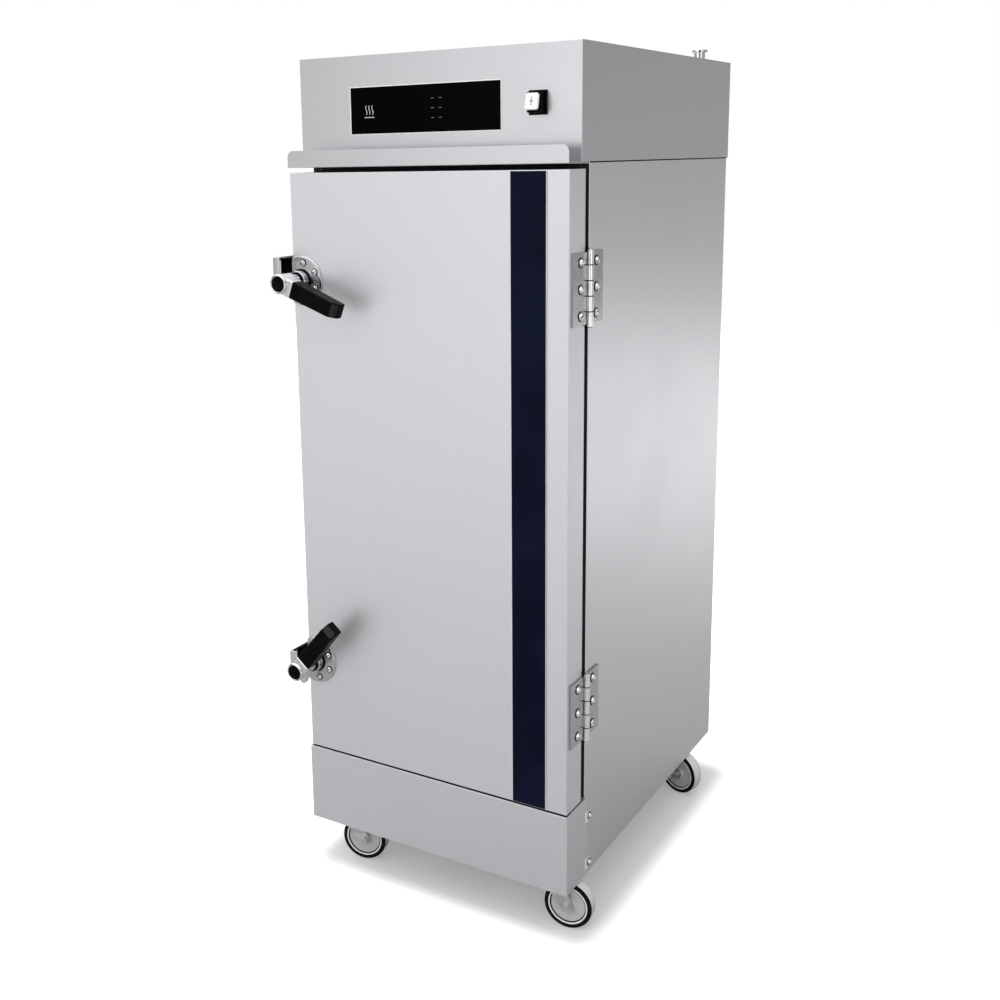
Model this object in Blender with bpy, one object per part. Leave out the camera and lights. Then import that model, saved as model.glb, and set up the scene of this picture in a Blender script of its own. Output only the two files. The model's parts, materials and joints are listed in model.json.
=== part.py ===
"""A tall steam cabinet on casters: a sheet-metal casing with a control header, a hinged and latched door,
an insulated chamber with tray racks over a heated water well, and a drain, inlet and vent.

All sizes are in metres. X runs to the right along the front, the front faces -Y and Z points up.
The origin is on the floor, under the middle of the whole cabinet with its latches and its drain valve.
"""

import math

import bmesh
import bpy
from mathutils import Matrix, Vector

# Driving sizes of the whole cabinet
body_width = 0.600
body_depth = 0.7275
body_top = 1.476
header_height = 0.204
skirt_clearance = 0.099
door_thickness = 0.0648
latch_reach = 0.080
rear_reach = 0.060

# Sheet, clearances and how far a cutter runs past what it cuts
sheet = 0.0012
gap = 0.0003
overrun = 0.004
merge_distance = 0.000003

# Casing
side_flange = 0.018
back_panel_margin = 0.008
wall_insulation = 0.050
header_front_proud = 0.0323
header_back_proud = 0.0095
header_flange = 0.015
louvre_count = 6
louvre_length = 0.140
louvre_x = 0.093
louvre_height = 0.005
louvre_pitch = 0.016
visor_lip_height = 0.032
visor_lip_ahead = 0.0016
visor_corner = 0.012
visor_side_margin = 0.0005

# Door, its seal and the panel below it
door_seal_gap = 0.0164
door_left_margin = 0.0032
door_top_gap = 0.011
door_bottom = 0.268
door_emboss_margin = 0.014
door_emboss_depth = 0.007
seal_width = 0.016
seal_crown_width = 0.009
seal_margin = 0.008
kick_gap = 0.004
kick_overlap = 0.0072
strip_thickness = 0.0008
strip_width = 0.0722
strip_right_margin = 0.0422
strip_end_margin = 0.002
strip_bottom_margin = 0.014

# Chamber, water well and what stands in them
mouth_side_margin = 0.0128
mouth_top_drop = 0.058
mouth_above_door_foot = 0.044
mouth_return = 0.012
liner_above_base = 0.035
liner_top_drop = 0.045
level_count = 12
ledge_width = 0.022
ledge_rise = 0.014
ledge_end_margin = 0.030
post_depth = 0.038
post_width = 0.026
post_margin = 0.070
rack_top_margin = 0.030
rack_overlap = 0.0006
baffle_above_floor = 0.095
baffle_side_margin = 0.004
baffle_end_margin = 0.055
baffle_slot_count = 7
baffle_slot_width = 0.012
baffle_slot_margin = 0.060

# Heaters in the well
heater_radius = 0.0055
heater_above_floor = 0.039
heater_turn_radius = 0.045
heater_offset = 0.120
heater_front_margin = 0.130
heater_plate_thickness = 0.004
heater_plate_rim = 0.014
heater_terminal = 0.024
heater_turn_steps = 8

# Vent, inlet, drain and cord gland
vent_radius = 0.012
vent_bore_radius = 0.0104
vent_rim_radius = 0.017
vent_rim_height = 0.005
vent_above_header = 0.025
vent_side_margin = 0.044
vent_back_margin = 0.0687
vent_foot_side_margin = 0.085
vent_bend_low = 0.040
vent_bend_high = 0.110
inlet_side_margin = 0.095
inlet_above_floor = 0.067
inlet_radius = 0.010
inlet_bore_radius = 0.006
inlet_flange_radius = 0.016
inlet_flange_thickness = 0.005
inlet_behind = 0.030
pipe_inside = 0.006
drain_x = 0.000
drain_above_floor = 0.023
drain_radius = 0.013
drain_bore_radius = 0.009
drain_body_radius = 0.019
drain_body_length = 0.032
drain_body_start = 0.012
drain_neck_radius = 0.007
drain_neck_height = 0.030
drain_stud_radius = 0.004
drain_stud_height = 0.008
handle_thickness = 0.004
handle_hub_radius = 0.010
handle_length = 0.078
handle_width = 0.014
gland_side_margin = 0.100
gland_above_floor = 0.060
gland_radius = 0.0125
gland_bore_radius = 0.007
gland_hex_radius = 0.017
gland_hex_thickness = 0.007
gland_cap_radius = 0.015
gland_behind = 0.030
gland_inside = 0.012

# Controls on the header
glass_side_margin = 0.119
glass_to_switch = 0.074
glass_above_header_foot = 0.059
glass_height = 0.0855
glass_thickness = 0.003
glass_proud = 0.0008
control_box_margin = 0.009
control_box_depth = 0.048
switch_side_margin = 0.0835
switch_above_header_foot = 0.103
switch_collar_half_width = 0.0175
switch_collar_half_height = 0.021
switch_collar_thickness = 0.003
switch_block_half_width = 0.0135
switch_block_half_height = 0.0172
switch_block_reach = 0.018
switch_body_half_width = 0.012
switch_body_half_height = 0.0155
switch_body_depth = 0.028
rocker_half_width = 0.0125
rocker_half_height = 0.0145
rocker_thickness = 0.006
rocker_lift = 0.0023
rocker_pivot_reach = 0.0195
rocker_pivot_radius = 0.003
rocker_pivot_half_length = 0.010
rocker_tilt = math.radians(12)
contactor_x = -0.060
contactor_width = 0.090
contactor_depth = 0.080
contactor_step = 0.016
contactor_base_height = 0.030
contactor_height = 0.074
contactor_behind_fascia = 0.300

# Hinges
hinge_heights = {"upper": 1.2575, "lower": 0.4615}
hinge_axis_out = 0.0065
hinge_axis_ahead = 0.0083
hinge_barrel_radius = 0.0062
hinge_barrel_length = 0.138
hinge_pin_radius = 0.003
hinge_pin_head_radius = 0.0045
hinge_pin_head = 0.0015
hinge_knuckles = 5
hinge_leaf_width = 0.062
hinge_leaf_height = 0.128
hinge_leaf_thickness = 0.003
hinge_leaf_notch = 0.0068
hinge_leaf_wrap = 0.001

# Latches and their keepers
latch_heights = {"upper": 1.2575, "lower": 0.464}
latch_angles = {"upper": math.radians(-21), "lower": math.radians(50)}
latch_from_side = 0.0245
latch_disc_radius = 0.049
latch_disc_thickness = 0.004
latch_hub_radius = 0.021
latch_hub_reach = 0.0205
latch_spindle_radius = 0.008
latch_spindle_start = 0.002
latch_cam_radius = 0.015
latch_cam_start = 0.0222
latch_neck_reach = 0.040
latch_boss_radius = 0.0195
latch_boss_rim = 0.0165
latch_boss_rim_drop = 0.003
latch_socket_length = 0.030
latch_socket_half_width = 0.0170
latch_socket_low = 0.0445
latch_socket_high = 0.0750
latch_tang_half = 0.006
latch_tang_length = 0.080
tongue_angle = math.radians(201)
tongue_length = 0.044
tongue_half_width = 0.007
tongue_low = 0.024
tongue_high = 0.0365
tongue_clearance = 0.0015
grip_length = 0.107
grip_half_width = 0.0168
grip_end_half_width = 0.0145
grip_half_thickness = 0.0145
grip_chamfer = 0.013
grip_edge = 0.003
keeper_thickness = 0.003
keeper_arm_out = 0.0135
keeper_lip_width = 0.0115
keeper_base_length = 0.046
keeper_base_start = 0.004
keeper_bend_ahead = 0.010
keeper_notch_clearance = 0.0035
keeper_bridge = 0.0075
keeper_low = {"upper": 0.010, "lower": -0.013}
keeper_high = {"upper": 0.047, "lower": 0.027}

# Base tray and casters
caster_height = 0.130
base_sheet = 0.002
base_rim = 0.040
caster_side_margin = 0.0565
caster_front_behind_door = 0.0549
caster_back_margin = 0.1237
caster_angles = {
    "front_right": math.radians(7),
    "front_left": math.radians(12),
    "rear_right": math.radians(-16),
    "rear_left": math.radians(172),
}
caster_trail = 0.0375
caster_plate_length = 0.086
caster_plate_width = 0.074
caster_plate_thickness = 0.004
race_radius = 0.024
race_height = 0.009
kingpin_radius = 0.006
kingpin_rise = 0.009
crown_radius = 0.026
crown_thickness = 0.005
fork_leg_thickness = 0.003
fork_leg_gap = 0.0018
fork_foot_radius = 0.013
fork_foot_start = math.radians(200)
fork_foot_steps = 6
fork_leg_back = 0.020
fork_leg_front = 0.020
wheel_radius = 0.049
wheel_width = 0.030
wheel_disc_width = 0.012
wheel_hub_radius = 0.015
wheel_rim_radius = 0.036
wheel_tread_radius = 0.047
axle_radius = 0.006
axle_end = 0.007

# Numbers of flat faces on round shapes, and the bend up to which they shade smooth
round_steps = 20
wheel_steps = 28
pipe_sides = 12
heater_sides = 10
smooth_angle = math.radians(35)
bend_steps = 5

# Places worked out from the sizes above
half_width = body_width / 2
front_reach = door_seal_gap + door_thickness + latch_reach
body_front = (front_reach - body_depth - rear_reach) / 2
body_back = body_front + body_depth
door_back = body_front - door_seal_gap
door_front = door_back - door_thickness
door_left = -(half_width - door_left_margin)
door_right = half_width
door_top = body_top - door_top_gap
header_front = body_front - header_front_proud
header_back = body_back + header_back_proud
header_top = body_top + header_height
frame_face = body_front + sheet + gap
frame_back = frame_face + sheet
inner_half_width = half_width - sheet - gap
liner_half_width = half_width - sheet - wall_insulation
base_rim_top = caster_height + base_rim
liner_bottom = base_rim_top + liner_above_base
mouth_half_width = liner_half_width - mouth_side_margin
mouth_bottom = door_bottom + mouth_above_door_foot
baffle_top = liner_bottom + baffle_above_floor
heater_height = liner_bottom + heater_above_floor
liner_front = frame_back + gap
liner_back = body_back - wall_insulation
liner_top = body_top - liner_top_drop
mouth_top = body_top - mouth_top_drop
back_panel_face = body_back + gap + sheet
vent_x = half_width - vent_side_margin
vent_foot_x = half_width - vent_foot_side_margin
inlet_x = half_width - inlet_side_margin
inlet_height = liner_bottom + inlet_above_floor
drain_height = liner_bottom + drain_above_floor
gland_x = gland_side_margin - half_width
glass_left = glass_side_margin - half_width
glass_bottom = body_top + glass_above_header_foot
glass_top = glass_bottom + glass_height
switch_x = half_width - switch_side_margin
glass_right = switch_x - glass_to_switch
switch_height = body_top + switch_above_header_foot
kick_top = door_bottom - kick_gap
latch_x = -(half_width - latch_from_side)
hinge_axis = Vector((half_width + hinge_axis_out, body_front - hinge_axis_ahead, 0))
latch_grip_centre = (latch_socket_low + latch_socket_high) / 2
keeper_lip_back = tongue_high + tongue_clearance
keeper_lip_front = keeper_lip_back + keeper_thickness
header_floor_top = body_top + gap + sheet
drain_neck_y = body_back + drain_body_start + drain_body_length / 2
heater_plate_back = liner_back + gap + heater_plate_thickness
caster_x = half_width - caster_side_margin
caster_front_y = door_front + caster_front_behind_door
caster_rear_y = body_back - caster_back_margin
race_bottom = caster_height - caster_plate_thickness - race_height
crown_bottom = race_bottom - gap - crown_thickness


# Scene helpers

def clear_scene():
    for item in list(bpy.data.objects):
        bpy.data.objects.remove(item, do_unlink=True)


def make_material(name, colour, roughness, metallic):
    material = bpy.data.materials.new(name)
    material.use_nodes = True
    shader = material.node_tree.nodes["Principled BSDF"]
    shader.inputs["Base Color"].default_value = (*colour, 1)
    shader.inputs["Roughness"].default_value = roughness
    shader.inputs["Metallic"].default_value = metallic
    return material


def object_from(name, mesh):
    item = bpy.data.objects.new(name, mesh)
    bpy.context.scene.collection.objects.link(item)
    return item


def mesh_from(name, shape):
    bmesh.ops.recalc_face_normals(shape, faces=shape.faces)
    mesh = bpy.data.meshes.new(name)
    shape.to_mesh(mesh)
    shape.free()
    return mesh


def solid(name, body, joins=(), cuts=()):
    """The body with other shapes joined to it and cut from it, as one mesh."""
    base = object_from(name + "_base", mesh_from(name, body))
    helpers = [base]
    for operation, shapes in (("UNION", joins), ("DIFFERENCE", cuts)):
        for shape in shapes:
            helper = object_from(name + "_helper", mesh_from(name, shape))
            helper.hide_render = True
            helper.display_type = "WIRE"
            helpers.append(helper)
            modifier = base.modifiers.new(operation.lower(), "BOOLEAN")
            modifier.operation = operation
            modifier.object = helper
    graph = bpy.context.evaluated_depsgraph_get()
    finished = bpy.data.meshes.new_from_object(base.evaluated_get(graph))
    for helper in helpers:
        bpy.data.objects.remove(helper, do_unlink=True)
    finished.name = name
    return finished


def add_pivot(name, place, parent=None, rotation=(0, 0, 0)):
    """An empty on a joint's axis. Its place is given in the parent's space."""
    pivot = object_from(name, None)
    pivot.parent = parent
    pivot.location = place
    pivot.rotation_euler = rotation
    return pivot


def add_piece(name, mesh, material, parent=None, smooth=False):
    piece = object_from(name, mesh)
    if not mesh.materials:
        mesh.materials.append(material)
    piece.parent = parent
    if smooth:
        mesh.shade_smooth()
        mesh.set_sharp_from_angle(angle=smooth_angle)
    return piece


# Shape helpers. Each one returns a new bmesh.

def moved(shape, place):
    bmesh.ops.translate(shape, verts=shape.verts, vec=place)
    return shape


def turned_about(shape, angle, axis):
    bmesh.ops.rotate(shape, verts=shape.verts, cent=(0, 0, 0), matrix=Matrix.Rotation(angle, 3, axis))
    return shape


def block(corner, opposite):
    """A box between two opposite corners, given in either order."""
    low = Vector([min(pair) for pair in zip(corner, opposite)])
    high = Vector([max(pair) for pair in zip(corner, opposite)])
    place = Matrix.Translation((low + high) / 2) @ Matrix.Diagonal((*(high - low), 1))
    shape = bmesh.new()
    bmesh.ops.create_cube(shape, size=1, matrix=place)
    return shape


def gathered(shapes):
    """Several shapes, clear of each other, as one."""
    whole = bmesh.new()
    for shape in shapes:
        mesh = mesh_from("part_of_group", shape)
        whole.from_mesh(mesh)
        bpy.data.meshes.remove(mesh)
    return whole


def prism(outline, axis, low, high):
    """An outline drawn across an axis and pulled along it. The outline's two values follow X, Y, Z order."""
    place = {
        "X": lambda a, b, c: (c, a, b),
        "Y": lambda a, b, c: (a, c, b),
        "Z": lambda a, b, c: (a, b, c),
    }[axis]
    shape = bmesh.new()
    face = shape.faces.new([shape.verts.new(place(a, b, low)) for a, b in outline])
    pulled = bmesh.ops.extrude_face_region(shape, geom=[face])["geom"]
    corners = [item for item in pulled if isinstance(item, bmesh.types.BMVert)]
    bmesh.ops.translate(shape, verts=corners, vec=place(0, 0, high - low))
    return shape


def sheet_outline(path, thickness):
    """The outline of a bent sheet: its path, and the same path one thickness to the left."""
    normals = []
    for (ax, ay), (bx, by) in zip(path, path[1:]):
        length = math.hypot(bx - ax, by - ay)
        normals.append(((ay - by) / length, (bx - ax) / length))
    inner = []
    for index, (x, y) in enumerate(path):
        before = normals[max(index - 1, 0)]
        after = normals[min(index, len(normals) - 1)]
        reach = thickness / (1 + before[0] * after[0] + before[1] * after[1])
        inner.append((x + reach * (before[0] + after[0]), y + reach * (before[1] + after[1])))
    return path + inner[::-1]


def open_box(low, high, thickness, open_side):
    """A box of sheet with one side open. The open side is an outward direction."""
    shape = block(low, high)
    shape.normal_update()
    mouth = max(shape.faces, key=lambda face: face.normal.dot(Vector(open_side)))
    bmesh.ops.inset_individual(shape, faces=[mouth], thickness=thickness, use_even_offset=True)
    floor = bmesh.ops.extrude_discrete_faces(shape, faces=[mouth])["faces"][0]
    span = Vector(high) - Vector(low)
    depth = abs(span.dot(Vector(open_side))) - thickness
    bmesh.ops.translate(shape, verts=floor.verts, vec=-depth * Vector(open_side))
    bmesh.ops.remove_doubles(shape, verts=shape.verts, dist=merge_distance)
    return shape


def flanged_plate(low, high, thickness, setback, flange, side):
    """A plate with a flange round its back, set in from its edges. The side is +1 or -1 along Y."""
    shape = block(low, high)
    shape.normal_update()
    back = max(shape.faces, key=lambda face: face.normal.y * side)
    bmesh.ops.inset_individual(shape, faces=[back], thickness=setback, use_even_offset=True)
    ring = bmesh.ops.inset_individual(shape, faces=[back], thickness=thickness, use_even_offset=True)["faces"]
    pulled = bmesh.ops.extrude_face_region(shape, geom=ring)["geom"]
    corners = [item for item in pulled if isinstance(item, bmesh.types.BMVert)]
    bmesh.ops.translate(shape, verts=corners, vec=(0, flange * side, 0))
    bmesh.ops.delete(shape, geom=ring, context="FACES_ONLY")
    return shape


def window_frame(window, outside, section):
    """A frame round a window in the XZ plane. A section point is its share of the way from the window
    to the outside, how much further out it lies, and its place along Y."""
    shape = bmesh.new()
    loops = []
    for right, up in ((0, 0), (1, 0), (1, 1), (0, 1)):
        loop = []
        for share, out, y in section:
            x = window[right] + share * (outside[right] - window[right]) + out * (2 * right - 1)
            z = window[2 + up] + share * (outside[2 + up] - window[2 + up]) + out * (2 * up - 1)
            loop.append(shape.verts.new((x, y, z)))
        loops.append(loop)
    for first, second in zip(loops, loops[1:] + loops[:1]):
        skin(shape, first, second)
    return shape


def skin(shape, first, second):
    """Faces between two closed loops of corners."""
    for index in range(len(first)):
        following = (index + 1) % len(first)
        shape.faces.new((first[index], first[following], second[following], second[index]))


def turned(profile, axis, steps=round_steps):
    """A profile of (radius, place along the axis) turned about X, Y or Z. It ends on the axis or closes."""
    along = {"X": Vector((1, 0, 0)), "Y": Vector((0, 1, 0)), "Z": Vector((0, 0, 1))}[axis]
    across = {"X": Vector((0, 0, 1)), "Y": Vector((1, 0, 0)), "Z": Vector((1, 0, 0))}[axis]
    shape = bmesh.new()
    points = [shape.verts.new(across * radius + along * place) for radius, place in profile]
    edges = [shape.edges.new(pair) for pair in zip(points, points[1:])]
    if min(radius for radius, _ in profile) > 0:
        edges.append(shape.edges.new((points[-1], points[0])))
    bmesh.ops.spin(
        shape, geom=points + edges, axis=along, cent=(0, 0, 0), angle=math.tau, steps=steps, use_merge=True
    )
    bmesh.ops.remove_doubles(shape, verts=shape.verts, dist=merge_distance)
    return shape


def rod(radius, low, high, axis, steps=round_steps):
    return turned([(0, high), (radius, high), (radius, low), (0, low)], axis, steps)


def tube_wall(shape, route, radii, across, sides):
    """Rings of corners along a route that lies in one plane, with faces between them. The direction across
    the plane is given."""
    rings = []
    for index, point in enumerate(route):
        ahead = route[min(index + 1, len(route) - 1)] - route[max(index - 1, 0)]
        side = ahead.normalized().cross(across)
        ring = []
        for step in range(sides):
            angle = math.tau * step / sides
            outward = math.cos(angle) * side + math.sin(angle) * across
            ring.append(shape.verts.new(point + radii[index] * outward))
        rings.append(ring)
    for first, second in zip(rings, rings[1:]):
        skin(shape, first, second)
    return rings


# Casing

def side_panel(side):
    path = [
        (half_width - side_flange, body_front),
        (half_width, body_front),
        (half_width, body_back),
        (half_width - side_flange, body_back),
    ]
    outline = [(side * x, y) for x, y in sheet_outline(path, sheet)]
    return solid("side_panel", prism(outline, "Z", skirt_clearance, body_top))


def back_panel():
    half = half_width - back_panel_margin
    plate = block((-half, body_back + gap, skirt_clearance), (half, back_panel_face, body_top - gap))
    start = body_back - overrun
    end = back_panel_face + overrun
    holes = [
        moved(rod(inlet_radius + gap, start, end, "Y"), (inlet_x, 0, inlet_height)),
        moved(rod(drain_radius + gap, start, end, "Y"), (drain_x, 0, drain_height)),
    ]
    return solid("back_panel", plate, cuts=holes)


def header_shell():
    low = body_top + gap
    path = [(half_width, low), (half_width, header_top), (-half_width, header_top), (-half_width, low)]
    shell = prism(sheet_outline(path, sheet), "Y", header_front + sheet + gap, header_back - sheet - gap)
    vent_hole = rod(vent_radius + gap, header_top - sheet - overrun, header_top + overrun, "Z")
    return solid("header_shell", shell, cuts=[moved(vent_hole, (vent_x, body_back - vent_back_margin, 0))])


def header_fascia():
    low = (-half_width, header_front, body_top + gap)
    high = (half_width, header_front + sheet, header_top)
    plate = flanged_plate(low, high, sheet, sheet + gap, header_flange, 1)
    window = block(
        (glass_left - gap, header_front - overrun, glass_bottom - gap),
        (glass_right + gap, header_front + sheet + overrun, glass_top + gap),
    )
    half_x = switch_body_half_width + gap
    half_z = switch_body_half_height + gap
    switch_hole = switch_block(half_x, half_z, -sheet - overrun, overrun)
    return solid("header_fascia", plate, cuts=[window, switch_hole])


def header_rear_cover():
    low = (-half_width, header_back - sheet, body_top + gap)
    high = (half_width, header_back, header_top)
    plate = flanged_plate(low, high, sheet, sheet + gap, header_flange, -1)
    middle = (body_top + header_top) / 2
    louvres = []
    for side in (-1, 1):
        for row in range(louvre_count):
            z = middle + (row - (louvre_count - 1) / 2) * louvre_pitch
            x = side * louvre_x
            louvres.append(
                block(
                    (x - louvre_length / 2, header_back - sheet - overrun, z - louvre_height / 2),
                    (x + louvre_length / 2, header_back + overrun, z + louvre_height / 2),
                )
            )
    hole = rod(gland_radius + gap, header_back - sheet - overrun, header_back + overrun, "Y")
    hole = moved(hole, (gland_x, 0, body_top + gland_above_floor))
    return solid("header_rear_cover", plate, cuts=[gathered(louvres), hole])


def header_floor():
    plate = block(
        (-inner_half_width, header_front + sheet + gap, body_top + gap),
        (inner_half_width, header_back - sheet - gap, header_floor_top),
    )
    hole = rod(vent_radius + gap, body_top - overrun, header_floor_top + overrun, "Z")
    return solid("header_floor", plate, cuts=[moved(hole, (vent_foot_x, body_back - vent_back_margin, 0))])


def visor():
    lip = door_front - visor_lip_ahead
    low = body_top - gap - sheet
    path = [(lip, low + visor_lip_height), (lip, low), (body_front, low)]
    half = half_width - visor_side_margin
    shape = prism(sheet_outline(path, sheet), "X", -half, half)
    top_corners = [
        edge
        for edge in shape.edges
        if min(corner.co.z for corner in edge.verts) > low + visor_lip_height - gap
        and abs(edge.verts[0].co.x - edge.verts[1].co.x) < gap
    ]
    bmesh.ops.bevel(shape, geom=top_corners, offset=visor_corner, segments=5, profile=0.5, affect="EDGES")
    return solid("visor", shape)


def base_frame():
    half = half_width - side_flange - gap
    low = (-half, door_front + sheet + gap, caster_height + gap)
    high = (half, body_back - gap, base_rim_top)
    return solid("base_frame", open_box(low, high, base_sheet, (0, 0, 1)))


def kick_panel():
    outer = half_width + gap + sheet
    back = body_front + kick_overlap
    path = [(-outer, back), (-outer, door_front), (outer, door_front), (outer, back)]
    wall = prism(sheet_outline(path, sheet), "Z", skirt_clearance, kick_top)
    lap = sheet / 2
    shelf = block(
        (-half_width - gap - lap, door_front + lap, kick_top - sheet),
        (half_width + gap + lap, body_front - gap, kick_top),
    )
    return solid("kick_panel", wall, joins=[shelf])


def front_frame():
    window = (-mouth_half_width, mouth_half_width, mouth_bottom, mouth_top)
    outside = (-inner_half_width, inner_half_width, base_rim_top + gap, body_top - gap)
    section = [
        (0, 0, frame_face),
        (1, 0, frame_face),
        (1, 0, frame_back),
        (0, sheet, frame_back),
        (0, sheet, frame_back + mouth_return),
        (0, 0, frame_back + mouth_return),
    ]
    return solid("front_frame", window_frame(window, outside, section))


# Chamber

def heater_legs(side):
    centre = side * heater_offset
    return centre - heater_turn_radius, centre + heater_turn_radius


def inner_liner():
    low = (-liner_half_width, liner_front, liner_bottom)
    high = (liner_half_width, liner_back, liner_top)
    box = open_box(low, high, sheet, (0, -1, 0))
    start = liner_back - sheet - overrun
    end = liner_back + overrun
    holes = [
        moved(rod(heater_radius + gap, start, end, "Y"), (x, 0, heater_height))
        for side in (-1, 1)
        for x in heater_legs(side)
    ]
    holes.append(moved(rod(inlet_radius + gap, start, end, "Y"), (inlet_x, 0, inlet_height)))
    holes.append(moved(rod(drain_radius + gap, start, end, "Y"), (drain_x, 0, drain_height)))
    vent_hole = rod(vent_bore_radius, liner_top - sheet - overrun, liner_top + overrun, "Z")
    holes.append(moved(vent_hole, (vent_foot_x, body_back - vent_back_margin, 0)))
    return solid("inner_liner", box, cuts=[gathered(holes)])


def heater_plate_corners(side, spare):
    left, right = heater_legs(side)
    rim = heater_plate_rim + spare
    return (left - rim, heater_height - rim), (right + rim, heater_height + rim)


def insulation():
    block_back = body_back - sheet - gap
    whole = block(
        (-inner_half_width, frame_back + gap, base_rim_top + gap),
        (inner_half_width, block_back, body_top - gap),
    )
    cavity = block(
        (-liner_half_width - gap, frame_back + gap - overrun, liner_bottom - gap),
        (liner_half_width + gap, liner_back + gap, liner_top + gap),
    )
    pockets = []
    for side in (-1, 1):
        (left, low), (right, high) = heater_plate_corners(side, gap)
        pockets.append(block((left, liner_back - overrun, low), (right, block_back + overrun, high)))
    start = liner_back - overrun
    end = block_back + overrun
    inlet_hole = moved(rod(inlet_radius + gap, start, end, "Y"), (inlet_x, 0, inlet_height))
    drain_hole = moved(rod(drain_radius + gap, start, end, "Y"), (drain_x, 0, drain_height))
    vent_hole = rod(vent_radius + gap, liner_top - overrun, body_top + overrun, "Z")
    vent_hole = moved(vent_hole, (vent_foot_x, body_back - vent_back_margin, 0))
    return solid("insulation", whole, cuts=[cavity, gathered(pockets), inlet_hole, drain_hole, vent_hole])


def level_pitch():
    return (liner_top - rack_top_margin - mouth_bottom) / level_count


def rack(side):
    wall = liner_half_width - sheet - gap
    post_face = wall - post_depth
    low = baffle_top + gap
    high = liner_top - sheet - rack_top_margin
    front = liner_front + post_margin
    back = liner_back - sheet - post_margin
    posts = []
    for start in (front, back - post_width):
        first = (side * wall, start, low)
        second = (side * post_face, start + post_width, high)
        posts.append(block(first, second))
    ledges = []
    front = liner_front + ledge_end_margin
    back = liner_back - sheet - ledge_end_margin
    for level in range(level_count):
        z = mouth_bottom + level * level_pitch()
        joint = post_face + rack_overlap
        path = [(side * joint, z + ledge_rise), (side * joint, z), (side * (post_face - ledge_width), z)]
        outline = sheet_outline(path, -side * sheet)
        ledges.append(prism(outline, "Y", front, back))
    return solid("rack", gathered(posts), joins=[gathered(ledges)])


def baffle_plate():
    half = liner_half_width - sheet - baffle_side_margin
    low = liner_bottom + sheet + gap
    front = liner_front + baffle_end_margin
    back = liner_back - sheet - baffle_end_margin
    path = [(half, low), (half, baffle_top), (-half, baffle_top), (-half, low)]
    plate = prism(sheet_outline(path, sheet), "Y", front, back)
    pitch = 2 * half / (baffle_slot_count + 1)
    slots = []
    for slot in range(baffle_slot_count):
        x = -half + pitch * (slot + 1)
        slots.append(
            block(
                (x - baffle_slot_width / 2, front + baffle_slot_margin, baffle_top - sheet - overrun),
                (x + baffle_slot_width / 2, back - baffle_slot_margin, baffle_top + overrun),
            )
        )
    return solid("baffle_plate", plate, cuts=[gathered(slots)])


def heater(side):
    left, right = heater_legs(side)
    turn_y = liner_front + heater_front_margin + heater_turn_radius
    end = heater_plate_back + heater_terminal
    route = [Vector((left, end, heater_height))]
    for step in range(heater_turn_steps + 1):
        angle = math.pi * step / heater_turn_steps
        x = side * heater_offset - heater_turn_radius * math.cos(angle)
        route.append(Vector((x, turn_y - heater_turn_radius * math.sin(angle), heater_height)))
    route.append(Vector((right, end, heater_height)))
    tube = bmesh.new()
    rings = tube_wall(tube, route, [heater_radius] * len(route), Vector((0, 0, 1)), heater_sides)
    for ring in (rings[0], rings[-1]):
        tube.faces.new(ring)
    (plate_left, low), (plate_right, high) = heater_plate_corners(side, 0)
    plate = block((plate_left, liner_back + gap, low), (plate_right, heater_plate_back, high))
    return solid("heater", tube, joins=[plate])


def vent_pipe():
    """The pipe steps out to its rim where two points of the route share one place."""
    y = body_back - vent_back_margin
    bend_start = header_floor_top + vent_bend_low
    bend_end = header_floor_top + vent_bend_high
    route = [Vector((vent_foot_x, y, liner_top + gap)), Vector((vent_foot_x, y, bend_start))]
    for step in range(1, bend_steps):
        share = step / bend_steps
        eased = (1 - math.cos(math.pi * share)) / 2
        x = vent_foot_x + (vent_x - vent_foot_x) * eased
        route.append(Vector((x, y, bend_start + (bend_end - bend_start) * share)))
    top = header_top + vent_above_header
    for z in (bend_end, top - vent_rim_height, top - vent_rim_height, top):
        route.append(Vector((vent_x, y, z)))
    radii = [vent_radius] * (len(route) - 2) + [vent_rim_radius] * 2
    bore_route = route[:-2] + route[-1:]
    across = Vector((0, 1, 0))
    shape = bmesh.new()
    outer = tube_wall(shape, route, radii, across, pipe_sides)
    inner = tube_wall(shape, bore_route, [vent_bore_radius] * len(bore_route), across, pipe_sides)
    for end in (0, -1):
        skin(shape, outer[end], inner[end])
    return solid("vent_pipe", shape)


def water_inlet():
    start = liner_back - sheet - pipe_inside
    flange = back_panel_face + gap
    profile = [
        (inlet_radius, start),
        (inlet_radius, flange),
        (inlet_flange_radius, flange),
        (inlet_flange_radius, flange + inlet_flange_thickness),
        (inlet_radius, flange + inlet_flange_thickness),
        (inlet_radius, body_back + inlet_behind),
        (inlet_bore_radius, body_back + inlet_behind),
        (inlet_bore_radius, start),
    ]
    return solid("water_inlet", moved(turned(profile, "Y"), (inlet_x, 0, inlet_height)))


def drain_valve_body():
    start = liner_back - sheet - pipe_inside
    end = body_back + rear_reach
    body_start = body_back + drain_body_start
    body_end = body_start + drain_body_length
    profile = [
        (drain_radius, start),
        (drain_radius, body_start),
        (drain_body_radius, body_start),
        (drain_body_radius, body_end),
        (drain_radius, body_end),
        (drain_radius, end),
        (drain_bore_radius, end),
        (drain_bore_radius, start),
    ]
    body = moved(turned(profile, "Y"), (drain_x, 0, drain_height))
    foot = drain_height + drain_radius + (drain_body_radius - drain_radius) / 2
    neck = [
        (0, drain_height + drain_neck_height + drain_stud_height),
        (drain_stud_radius, drain_height + drain_neck_height + drain_stud_height),
        (drain_stud_radius, drain_height + drain_neck_height),
        (drain_neck_radius, drain_height + drain_neck_height),
        (drain_neck_radius, foot),
        (0, foot),
    ]
    return solid("drain_valve_body", body, joins=[moved(turned(neck, "Z"), (drain_x, drain_neck_y, 0))])


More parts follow.
